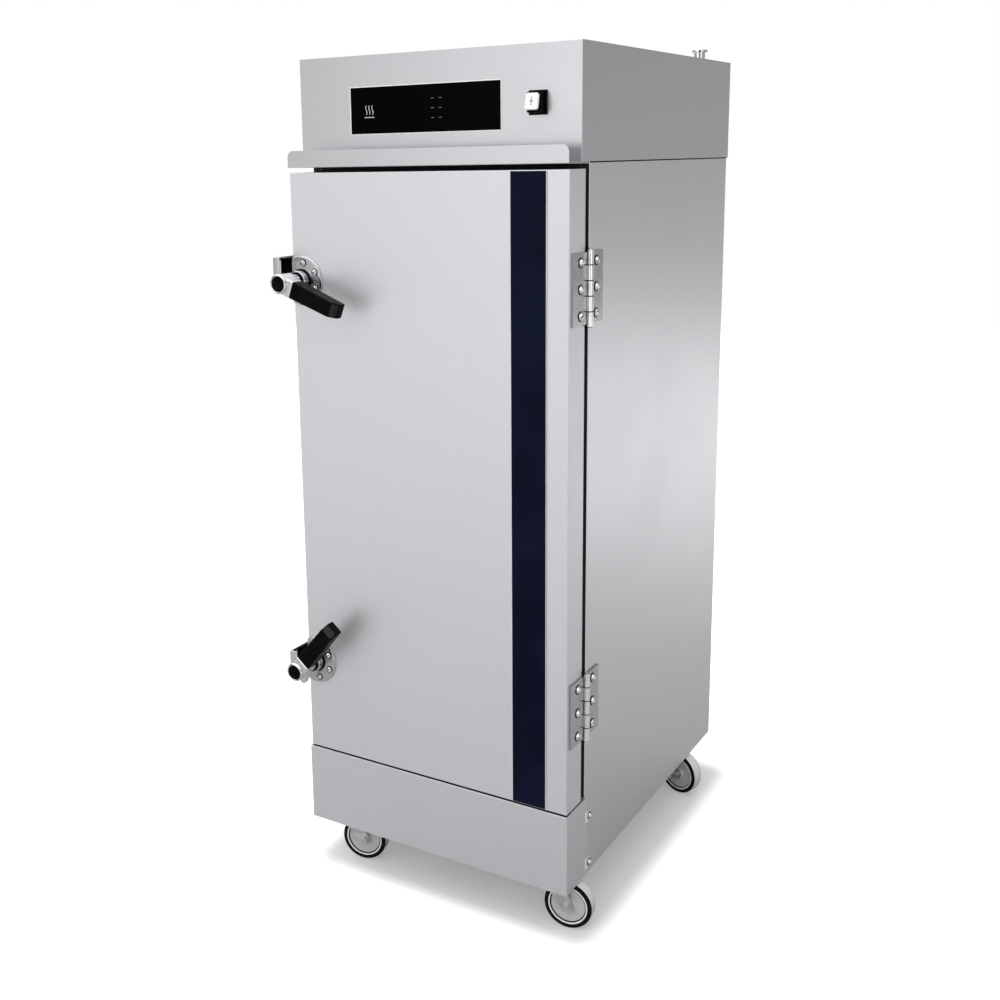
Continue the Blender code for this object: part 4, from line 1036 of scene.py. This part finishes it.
# %% Both latches
latch_rest = {"upper": math.radians(-21), "lower": math.radians(50)}
flange_screws = ((0.006, 0.035, 50), (0.033, 0.0175, 38), (0.034, -0.0135, 42), (0.008, -0.035, -25))
for level in levels:
    x, y, z = joints["latch_turn_" + level]["pos_m"]
    stand = Matrix.Translation((x, y, z))
    turned = stand @ Matrix.Rotation(-latch_rest[level], 4, "Y")
    flange = placed(latch_flange(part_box("door_skin")[0].x - x), stand)
    add("latch_flange_" + level, flange, leaf_steel, "door", ["latch_base_" + level])
    # The black rings at the hub's foot and under the lever are painted shade.
    add("latch_rings_" + level, placed(latch_shade_rings(), stand), black, "door")
    at = [((x + right, y - flange_thickness, z + up), (0, -1, 0), turn) for right, up, turn in flange_screws]
    screws("latch_screws_" + level, at, "door", radius=0.0046, height=0.0040)
    body = "latch_" + level
    arm = placed(latch_lever(), turned)
    add("latch_arm_" + level, arm, chrome, body, ["latch_lever_" + level])
    add("latch_plug_" + level, placed(latch_plug(), turned), black, body)
    grip = placed(latch_grip(), turned)
    add("latch_handle_" + level, grip, black, body, ["latch_grip_" + level])
    add("latch_end_pad_" + level, placed(grip_end_pad(), turned), worn_black, body)
print(len(levels), "latches")

# %% Keepers
keeper_thickness = 0.003
keeper_proud = 0.0034
keeper_screws_back = (0.012, 0.032)
for level in levels:
    softened("keeper_" + level, chrome, edge=0.0009)
    low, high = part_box("keeper_" + level)
    middle = (low.z + high.z) / 2
    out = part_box("side_panel_left")[0].x - keeper_proud
    at = [((out, high.y - back, middle), (-1, 0, 0), 30) for back in keeper_screws_back]
    screws("keeper_screws_" + level, at, "root", radius=0.0045, height=0.0034)
    # A black plate on the keeper's inner face is painted shade inside the hook.
    inner_face = low.x + keeper_thickness
    pad = box_shape(
        (inner_face + 0.0001, low.y + 0.0215, low.z + 0.0035),
        (inner_face + 0.0014, low.y + 0.0720, high.z - 0.0035),
    )
    add("keeper_pad_" + level, rounded(pad, 0.0005, 2), black, "root")
print(len(levels), "keepers")

# %% [markdown]
# ## Control panel
#
# The glass sits in the fascia's window with a thin white rim round it. Only plain marks show on it: three
# rising lines over a short bar for steam, and two columns of indicator bars. Each mark is a very thin plate
# on the glass rather than a picture on it, so it needs no image and stays sharp from close by.

# %% Glass and its rim
rim_width = 0.0018
rim_reach = 0.0011
cutter_overlap = 0.01
softened("control_glass", glass, edge=0.0004)
softened("control_box", black, edge=0.0006)
low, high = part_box("control_glass")


def ring_plate(low, high, width, back, front):
    """A flat rectangular ring in the XZ plane, round the given opening."""
    shape = box_shape((low.x - width, front, low.z - width), (high.x + width, back, high.z + width))
    hole = box_shape((low.x, front - cutter_overlap, low.z), (high.x, back + cutter_overlap, high.z))
    return combined(shape, [hole], "DIFFERENCE")


fascia_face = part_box("header_fascia")[0].y
rim = ring_plate(low, high, rim_width, fascia_face - 0.0001, fascia_face - rim_reach)
add("glass_rim", rounded(rim, 0.0003, 2), white, "root")
print("glass with its rim")

# %% Marks on the glass
mark_white = clouded(
    "mark_white", (0.62, 0.66, 0.68), 0.35, size=400.0, tints=((0.50, 0.54, 0.56), (0.70, 0.74, 0.76))
)
mark_faint = clouded(
    "mark_faint", (0.10, 0.11, 0.115), 0.40, size=400.0, tints=((0.07, 0.078, 0.082), (0.13, 0.14, 0.145))
)
mark_depth = 0.00015
mark_edge = 0.00005
glass_face = low.y - 0.0001
steam_x = -0.1385
steam_z = 1.5700
wave_gap = 0.007
wave_height = 0.017
wave_width = 0.0014
wave_swing = 0.0014
wave_steps = 16
bar_x = 0.001
bar_z = 1.5605
bar_gaps = (0.0165, 0.0175)
bar_half = (0.0032, 0.0007)


def wavy_line(centre_x):
    """A rising line that swings once to each side."""
    middle = []
    for step in range(wave_steps + 1):
        x = centre_x + wave_swing * math.sin(math.tau * step / wave_steps)
        middle.append((x, steam_z + wave_height * step / wave_steps))
    outline = [(x - wave_width / 2, z) for x, z in middle]
    outline += [(x + wave_width / 2, z) for x, z in reversed(middle)]
    return pulled(outline, "Y", glass_face - mark_depth, glass_face)


def flat_bar(left, right, bottom, top):
    bar = box_shape((left, glass_face - mark_depth, bottom), (right, glass_face, top))
    return rounded(bar, mark_edge, 1)


waves = [wavy_line(steam_x + offset) for offset in (-wave_gap, 0, wave_gap)]
waves.append(flat_bar(steam_x - 0.011, steam_x + 0.011, steam_z - 0.0055, steam_z - 0.0040))
add("steam_mark", together(waves), mark_white, "root")
bars = []
for column in range(2):
    for row in range(3):
        x = bar_x + column * bar_gaps[0]
        z = bar_z + row * bar_gaps[1]
        bars.append(flat_bar(x - bar_half[0], x + bar_half[0], z - bar_half[1], z + bar_half[1]))
add("indicator_bars", together(bars), mark_faint, "root")
print("steam mark and", len(bars), "bars")

# %% [markdown]
# ## Switch
#
# The rocker is a white moulding with round corners on a black block. It starts as a box: a wide bevel on
# the edges that run from front to back rounds its outline, and a narrow one rounds its rim. Its marks are
# a dot, a ring and a dot.

# %% Switch
switch_rest = math.radians(-12)
cap_low = Vector((-0.0125, -0.0083, -0.0145))
cap_high = Vector((0.0125, -0.0023, 0.0145))
mark_span = (cap_low.y - 0.0002, cap_low.y + 0.0003)
dot_radius = 0.0012
dot_height = 0.0058
circle_radii = (0.0016, 0.0027)

softened("switch_housing", black, edge=0.0011)
switch_stand = Matrix.Translation(joints["switch_rock"]["pos_m"]) @ Matrix.Rotation(switch_rest, 4, "X")
cap = box_shape(cap_low, cap_high)
bevelled(cap, running_along(cap, "Y"), 0.0045, 6)
rounded(cap, 0.0013, 3)
cap = combined(cap, [rod(0.003, 0.010, -0.010, "X", 24)])
add("rocker_cap", placed(cap, switch_stand), white, "switch", ["switch_rocker"])
dots = []
for height in (-dot_height, dot_height):
    dots.append(placed(rod(dot_radius, *mark_span, "Y", 20), Matrix.Translation((0, 0, height))))
circle = [(circle_radii[0], mark_span[0]), (circle_radii[1], mark_span[0])]
circle += [(circle_radii[1], mark_span[1]), (circle_radii[0], mark_span[1])]
dots.append(spun(circle, "Y", 28))
add("rocker_marks", placed(together(dots), switch_stand), black, "switch")
print("switch")

# %% [markdown]
# ## Strip on the door
#
# The navy strip is film with a fine pale line down each edge. It runs the door's whole height, and the
# lines lie on it. Film this thin could be painted on the door, but as a piece of its own it keeps its
# place and finish.

# %% Strip
line_width = 0.0014
low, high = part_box("door_strip")
low.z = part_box("door_skin")[0].z + 0.0020
add("door_strip_film", rounded(box_shape(low, high), 0.0001, 1), navy, "door", ["door_strip"])
pale_line = clouded(
    "pale_line", (0.66, 0.66, 0.64), 0.4, size=30.0, tints=((0.60, 0.60, 0.58), (0.70, 0.70, 0.68))
)
borders = [
    box_shape((x, low.y - 0.0002, low.z), (x + line_width, low.y + 0.0002, high.z))
    for x in (low.x, high.x - line_width)
]
add("strip_lines", together(borders), pale_line, "door")
print("strip with its lines")

# %% [markdown]
# ## Casters
#
# A caster is a plate with a ball race, a pressed fork that swivels under it, and a wheel. The wheel's rim is
# grey plastic with a pale ring, its tyre is black on the sides, and the tread is pale grey. The wheel's
# parts are spun about the axle. The plate and the fork are softened copies of their solids.

# %% Wheel profiles
wheel_radius = 0.0490
disc_side = [
    (0.0063, 0.0150), (0.0110, 0.0150), (0.0125, 0.0142), (0.0140, 0.0105), (0.0170, 0.0090),
    (0.0330, 0.0100), (0.0362, 0.0112), (0.0372, 0.0118),
]
tyre_side = [
    (0.0374, 0.0098), (0.0404, 0.0098), (0.0404, 0.0141), (0.0412, 0.0149), (0.0440, 0.0150),
    (0.0464, 0.0146), (0.0479, 0.0134), (0.0486, 0.0118),
]
tread_side = [(0.0480, 0.0116), (0.0487, 0.0116), (wheel_radius, 0.0104)]
ring_side = [
    (0.0373, 0.0100), (0.0373, 0.0138), (0.0379, 0.0143), (0.0396, 0.0143), (0.0402, 0.0138),
    (0.0402, 0.0100),
]
groove_side = [(0.0352, 0.0105), (0.0352, 0.0119), (0.0372, 0.0125), (0.0372, 0.0105)]


def both_faces(side):
    """A ring on each face of the wheel."""
    return [spun([(radius, face * y) for radius, y in side], "Y", 64) for face in (-1, 1)]


def six_sided(radius, low, high, axis):
    """A hexagon nut or bolt head."""
    outline = []
    for step in range(6):
        angle = math.tau * step / 6
        outline.append((radius * math.cos(angle), radius * math.sin(angle)))
    return rounded(pulled(outline, axis, low, high), min(0.0006, radius * 0.08), 2)


# %% Four casters
nut_radius = 0.0095
nut_span = (0.0200, 0.0255)
bolt_radius = 0.0065
bolt_length = 0.0048
bolt_inset = (0.012, 0.013)
bolt_sink = 0.0040
for corner in corners:
    roll = joints["wheel_roll_" + corner]
    turn = math.atan2(-roll["axis"][0], roll["axis"][1])
    axle = Matrix.Translation(roll["pos_m"]) @ Matrix.Rotation(turn, 4, "Z")
    wheel = "wheel_" + corner
    disc = placed(spun(disc_side + mirrored(disc_side), "Y", 64), axle)
    add("wheel_disc_" + corner, disc, wheel_grey, wheel, ["caster_wheel_" + corner])
    rings = together(both_faces(ring_side))
    bmesh.ops.recalc_face_normals(rings, faces=rings.faces)
    add("wheel_rings_" + corner, placed(rings, axle), ring_white, wheel)
    dark = together([spun(tyre_side + mirrored(tyre_side), "Y", 72)] + both_faces(groove_side))
    add("wheel_tyre_" + corner, placed(dark, axle), tyre, wheel)
    tread = placed(spun(tread_side + mirrored(tread_side), "Y", 72), axle)
    add("wheel_tread_" + corner, tread, tread_grey, wheel)
    softened("caster_fork_" + corner, zinc, edge=0.0007)
    softened("caster_plate_" + corner, zinc, edge=0.0009)
    nuts = [six_sided(nut_radius, side * nut_span[0], side * nut_span[1], "Y") for side in (-1, 1)]
    add("axle_nuts_" + corner, placed(together(nuts), axle), chrome, "swivel_" + corner)
    low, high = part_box("caster_plate_" + corner)
    bolts = []
    for x in (low.x + bolt_inset[0], high.x - bolt_inset[0]):
        for y in (low.y + bolt_inset[1], high.y - bolt_inset[1]):
            head = six_sided(bolt_radius, -bolt_length, 0, "Z")
            bolts.append(placed(head, Matrix.Translation((x, y, high.z - bolt_sink))))
    add("caster_bolts_" + corner, together(bolts), zinc, "root")
print(len(corners), "casters")

# %% [markdown]
# ## Kick panel fixings
#
# The kick panel laps round each side, and its rear edges are hemmed: the sheet is folded back to a thin
# bead, which catches a line of light. Two bright lugs lie over each hem, and a screw through each one
# holds the panel. A lug is a small box whose two rear corners are bevelled until its end is nearly half
# round.

# %% Hems, lugs and screws
hem_radius = 0.0011
hem_trim = 0.001
lug_heights = (0.2225, 0.1220)
lug_half = 0.0110
lug_ahead = 0.0050
lug_reach = 0.0190
lug_thickness = 0.0026
lug_clearance = 0.0004
lug_roundness = 0.92
lug_screw_back = 0.0110
low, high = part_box("kick_panel")
for side, sign in sides.items():
    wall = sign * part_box("side_panel_right")[1].x
    out = wall + sign * lug_thickness
    at = []
    lugs = []
    for height in lug_heights:
        near, far = sorted((wall + sign * lug_clearance, out))
        foot = (near, high.y - lug_ahead, height - lug_half)
        lug = box_shape(foot, (far, high.y + lug_reach, height + lug_half))
        rear = [edge for edge in running_along(lug, "X") if edge.verts[0].co.y > high.y]
        bevelled(lug, rear, lug_half * lug_roundness, 8)
        lugs.append(rounded(lug, 0.0011, 3))
        at.append(((out, high.y + lug_screw_back, height), (sign, 0, 0), 20 + 300 * height * sign))
    hem = rod(hem_radius, low.z + hem_trim, high.z - hem_trim, "Z", 16)
    hem_place = Matrix.Translation((sign * (high.x - 0.0004), high.y, 0))
    add("kick_hem_" + side, placed(hem, hem_place), chrome, "root")
    add("kick_lugs_" + side, together(lugs), bright_sheet, "root")
    screws("kick_screws_" + side, at, "root", radius=0.0050, height=0.0036)
print("kick panel lugs")

# %% [markdown]
# ## Joints and gaps
#
# Sheet panels meet with dark lines between them. A black bead in the joint under the header on each side is
# painted shade. Black rubber also lies where the door closes, as painted shade in the gaps behind the door's
# edges: a band round the frame and on the side panels' front flanges, outside the seal, and a strip on the
# kick panel's top.

# %% Painted shade in the header joints
bead_proud = 0.0006
bead_half = 0.0012
panel_low, panel_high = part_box("side_panel_right")
beads = []
for sign in sides.values():
    near, far = sorted((sign * (panel_high.x - 0.0002), sign * (panel_high.x + bead_proud)))
    foot = (near, panel_low.y, panel_high.z - bead_half)
    bead = box_shape(foot, (far, panel_high.y, panel_high.z + bead_half))
    beads.append(rounded(bead, 0.0003, 2))
add("sealant_beads", together(beads), black, "root")
print("sealant beads")

# %% Painted shade behind the door's edges
band_width = 0.020
band_thickness = 0.0006
flange_clearance = 0.0004
gap_shade_depth = 0.022
gap_shade_inset = 0.0025
gap_shade_thickness = 0.0008
frame_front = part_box("front_frame")[0].y
band_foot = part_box("door_skin")[0].z - 0.0020
band_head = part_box("visor")[0].z - 0.0006
opening_half = panel_low.x - flange_clearance - band_width
opening_low = Vector((-opening_half, 0, band_foot + band_width))
opening_high = Vector((opening_half, 0, band_head - band_width))
band = ring_plate(opening_low, opening_high, band_width, frame_front, frame_front - band_thickness)
bands = [rounded(band, 0.0002, 2)]
for sign in sides.values():
    near, far = sorted((sign * (panel_low.x + 0.0005), sign * (panel_high.x - 0.0010)))
    strip = box_shape((near, panel_low.y - band_thickness, band_foot), (far, panel_low.y, band_head))
    bands.append(rounded(strip, 0.0002, 2))
add("frame_band", together(bands), seal, "root")
kick_low, kick_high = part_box("kick_panel")
gap_shade_strip = box_shape(
    (kick_low.x + gap_shade_inset, kick_low.y + 0.0020, kick_high.z),
    (kick_high.x - gap_shade_inset, kick_low.y + gap_shade_depth, kick_high.z + gap_shade_thickness),
)
add("kick_rub_strip", rounded(gap_shade_strip, 0.0003, 2), seal, "root")
print("frame band and rub strip")

# %% [markdown]
# ## Vent, inlet, drain and gland
#
# These are turned parts. Each is spun from half of its outline, with the small chamfers that a lathe
# leaves, and its hexagons are pulled from six corners. The vent's bend inside the header is a plain copy
# of its solid.

# %% Vent pipe
vent_rim = 0.0170
vent_rim_height = 0.0050
vent_outer = 0.0120
vent_bore = 0.0104
low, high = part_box("vent_pipe")
vent_axis = Matrix.Translation((high.x - vent_rim, (low.y + high.y) / 2, 0))
shell_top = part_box("header_shell")[1].z
join_height = shell_top - 0.0300
lower_part = copied("vent_pipe")
sliced(lower_part, (0, 0, join_height), (0, 0, 1), drop=True)
rim_foot = high.z - vent_rim_height
vent_profile = [
    (vent_bore, join_height),
    (vent_outer, join_height),
    (vent_outer, rim_foot - 0.0012),
    (vent_outer + 0.0006, rim_foot - 0.0003),
    (vent_outer + 0.0016, rim_foot),
    (vent_rim - 0.0008, rim_foot),
    (vent_rim, rim_foot + 0.0008),
    (vent_rim, high.z - 0.0010),
    (vent_rim - 0.0010, high.z),
    (vent_bore + 0.0008, high.z),
    (vent_bore, high.z - 0.0008),
]
upper_part = placed(spun(vent_profile, "Z", 56), vent_axis)
collar_profile = [
    (vent_outer + 0.0004, 0), (vent_outer + 0.0070, 0), (vent_outer + 0.0066, 0.0010),
    (vent_outer + 0.0020, 0.0016), (vent_outer + 0.0004, 0.0030),
]
collar = placed(spun(collar_profile, "Z", 56), vent_axis @ Matrix.Translation((0, 0, shell_top)))
pipe = together([lower_part, upper_part])
add("vent_pipe_made", pipe, chrome, "root", ["vent_pipe"])
add("vent_collar", collar, seal, "root")
print("vent pipe")

# %% Threads and nuts
def threads(radius, start, end, pitch=0.0015, depth=0.0006):
    """The zigzag outline of a thread between two places along the axis."""
    turns = int((end - start) / pitch)
    points = []
    for turn in range(turns):
        points.append((radius, start + pitch * (turn + 0.1)))
        points.append((radius - depth, start + pitch * (turn + 0.6)))
    return points + [(radius, end)]


def bored_nut(radius, bore, low, high, axis):
    """A hexagon nut with a round hole right through it."""
    hole = rod(bore, low - cutter_overlap, high + cutter_overlap, axis)
    return combined(six_sided(radius, low, high, axis), [hole], "DIFFERENCE")


# %% Water inlet and drain valve
panel_gap = 0.0003
low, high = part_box("water_inlet")
inlet_axis = Matrix.Translation(((low.x + high.x) / 2, 0, (low.z + high.z) / 2))
inlet_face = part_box("back_panel")[1].y + panel_gap
inlet_profile = [(0.0060, low.y), (0.0095, low.y), (0.0100, low.y + 0.0005), (0.0100, inlet_face + 0.0050)]
inlet_profile += threads(0.0100, inlet_face + 0.0070, high.y - 0.0012)
inlet_profile += [(0.0090, high.y), (0.0066, high.y), (0.0060, high.y - 0.0006)]
inlet_nut = bored_nut(0.0160, 0.0099, inlet_face, inlet_face + 0.0050, "Y")
inlet = placed(together([spun(inlet_profile, "Y"), inlet_nut]), inlet_axis)
add("water_inlet_made", inlet, brass, "root", ["water_inlet"])

valve_drop = 0.0300
valve_half = 0.0160
low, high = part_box("drain_valve_body")
handle_joint = Vector(joints["drain_turn"]["pos_m"])
drain_height = handle_joint.z - valve_drop
valve_start = handle_joint.y - valve_half
valve_end = handle_joint.y + valve_half
drain_profile = [
    (0.0090, low.y), (0.0125, low.y), (0.0130, low.y + 0.0005), (0.0130, valve_start - 0.0005),
    (0.0172, valve_start), (0.0190, valve_start + 0.0012), (0.0190, valve_start + 0.0070),
    (0.0178, valve_start + 0.0095), (0.0178, valve_end - 0.0095), (0.0190, valve_end - 0.0070),
    (0.0190, valve_end - 0.0012), (0.0172, valve_end), (0.0130, valve_end + 0.0005),
]
drain_profile += threads(0.0130, valve_end + 0.0012, high.y - 0.0010)
drain_profile += [(0.0120, high.y), (0.0096, high.y), (0.0090, high.y - 0.0006)]
neck_profile = [
    (0, 0.0380), (0.0032, 0.0380), (0.0040, 0.0372), (0.0040, 0.0300), (0.0064, 0.0300), (0.0070, 0.0293),
    (0.0070, 0.0215), (0.0092, 0.0200), (0.0092, 0.0160), (0, 0.0160),
]
valve = placed(spun(drain_profile, "Y", 56), Matrix.Translation((handle_joint.x, 0, drain_height)))
neck_place = Matrix.Translation((handle_joint.x, handle_joint.y, drain_height))
neck = placed(spun(neck_profile, "Z", 40), neck_place)
add("drain_valve_made", combined(valve, [neck]), brass, "root", ["drain_valve_body"])
print("water inlet and drain valve")

# %% Drain lever
lever_stand = Matrix.Translation(handle_joint)
softened("drain_handle", zinc, edge=0.0009)
sleeve = box_shape((0.0240, -0.0084, -0.0011), (0.0795, 0.0084, 0.0057))
rounded(sleeve, 0.0028, 5)
sleeve_mouth = box_shape((0.0230, -0.0071, 0.0002), (0.0300, 0.0071, 0.0044))
sleeve = combined(sleeve, [sleeve_mouth], "DIFFERENCE")
add("drain_handle_sleeve", placed(sleeve, lever_stand), black, "drain_lever")
lever_nut = bored_nut(0.0062, 0.0042, 0.0045, 0.0072, "Z")
add("drain_handle_nut", placed(lever_nut, lever_stand), chrome, "drain_lever")
print("drain lever")

# %% Cord gland
gland_ribs = 12
low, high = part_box("cord_gland")
gland_axis = Matrix.Translation(((low.x + high.x) / 2, 0, (low.z + high.z) / 2))
cover_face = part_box("header_rear_cover")[1].y + panel_gap
gland_profile = [(0.0070, low.y)] + threads(0.0125, low.y + 0.0008, cover_face - 0.0022)
gland_profile += [
    (0.0125, cover_face + 0.0066), (0.0146, cover_face + 0.0072), (0.0150, cover_face + 0.0080),
    (0.0150, high.y - 0.0060), (0.0138, high.y - 0.0022), (0.0112, high.y), (0.0078, high.y),
    (0.0070, high.y - 0.0010),
]
gland_nut = bored_nut(0.0170, 0.0124, cover_face, cover_face + 0.0070, "Y")
ribs = []
for rib in range(gland_ribs):
    bar = box_shape((0.0142, cover_face + 0.0085, -0.0011), (0.0157, high.y - 0.0070, 0.0011))
    ribs.append(placed(rounded(bar, 0.0004, 2), Matrix.Rotation(math.tau * rib / gland_ribs, 4, "Y")))
gland = placed(together([spun(gland_profile, "Y", 48), gland_nut] + ribs), gland_axis)
add("cord_gland_made", gland, black, "root", ["cord_gland"])
print("cord gland")

# %% [markdown]
# ## Header's rear and inner parts
#
# Warm air leaves through slots in the rear cover. Each slot is half covered by a pressed hood: a shallow
# quarter round shell. The heaters are bent rods, and the contactor is a stepped block that gets terminal
# screws.

# %% Louvre hoods
hood_reach = 0.0042
hood_rise = 0.0062
hood_lip = 0.0015
hood_steps = 8
hood_half = 0.0735
louvre_x = 0.093
louvre_rows = 6
louvre_pitch = 0.016
louvre_slot_half = 0.0025
floor_sheet = 0.0015
cover_low, cover_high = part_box("header_rear_cover")
cover_middle = (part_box("header_floor")[1].z - floor_sheet + cover_high.z) / 2
hoods = []
for side in sides.values():
    for row in range(louvre_rows):
        foot = cover_middle + (row - (louvre_rows - 1) / 2) * louvre_pitch - louvre_slot_half
        outline = []
        for step in range(hood_steps + 1):
            angle = math.radians(90) * step / hood_steps
            rise = (hood_rise + hood_lip) * math.sin(angle)
            outline.append((cover_high.y + hood_reach * math.cos(angle), foot + rise))
        outline += [
            (cover_high.y - 0.0002, foot + hood_rise + hood_lip),
            (cover_high.y - 0.0002, foot + hood_rise),
            (cover_high.y + hood_reach * 0.5, foot + hood_rise * 0.8),
            (cover_high.y + hood_reach - 0.0010, foot),
        ]
        hood = pulled(outline, "X", side * louvre_x - hood_half, side * louvre_x + hood_half)
        hoods.append(rounded(hood, 0.0002, 1))
add("louvre_hoods", together(hoods), header_steel, "root")
print(len(hoods), "louvre hoods")

# %% Panel screws behind
panel_screw_inset = 0.012
panel_screw_shares = (0.03, 0.35, 0.66, 0.97)
cover_screw_x = 0.285
cover_screw_inset = 0.022
back_low, back_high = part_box("back_panel")
at = []
for x in (back_low.x + panel_screw_inset, 0.0, back_high.x - panel_screw_inset):
    for share in panel_screw_shares:
        z = back_low.z + share * (back_high.z - back_low.z)
        at.append(((x, back_high.y, z), (0, 1, 0), 17 + 900 * (x + z)))
for x in (-cover_screw_x, cover_screw_x):
    for z in (cover_low.z + cover_screw_inset, cover_high.z - cover_screw_inset):
        at.append(((x, cover_high.y, z), (0, 1, 0), 40 + 700 * (x + z)))
screws("panel_screws", at, "root", radius=0.0045, height=0.0026)
print(len(at), "panel screws")

# %% Heaters and contactor
terminal_inset = 0.0080
terminal_height = 0.0300
for side in sides:
    softened("heater_" + side, chrome, edge=0.0006)
softened("contactor", black, edge=0.0012)
low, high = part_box("contactor")
at = []
for column in range(3):
    x = low.x + (high.x - low.x) * (column + 0.5) / 3
    for y in (low.y + terminal_inset, high.y - terminal_inset):
        at.append(((x, y, low.z + terminal_height), (0, 0, 1), 35 * column + 900 * y))
screws("contactor_screws", at, "root", radius=0.0042, height=0.0020, look=brass, slot="brass")
print("heaters and contactor")
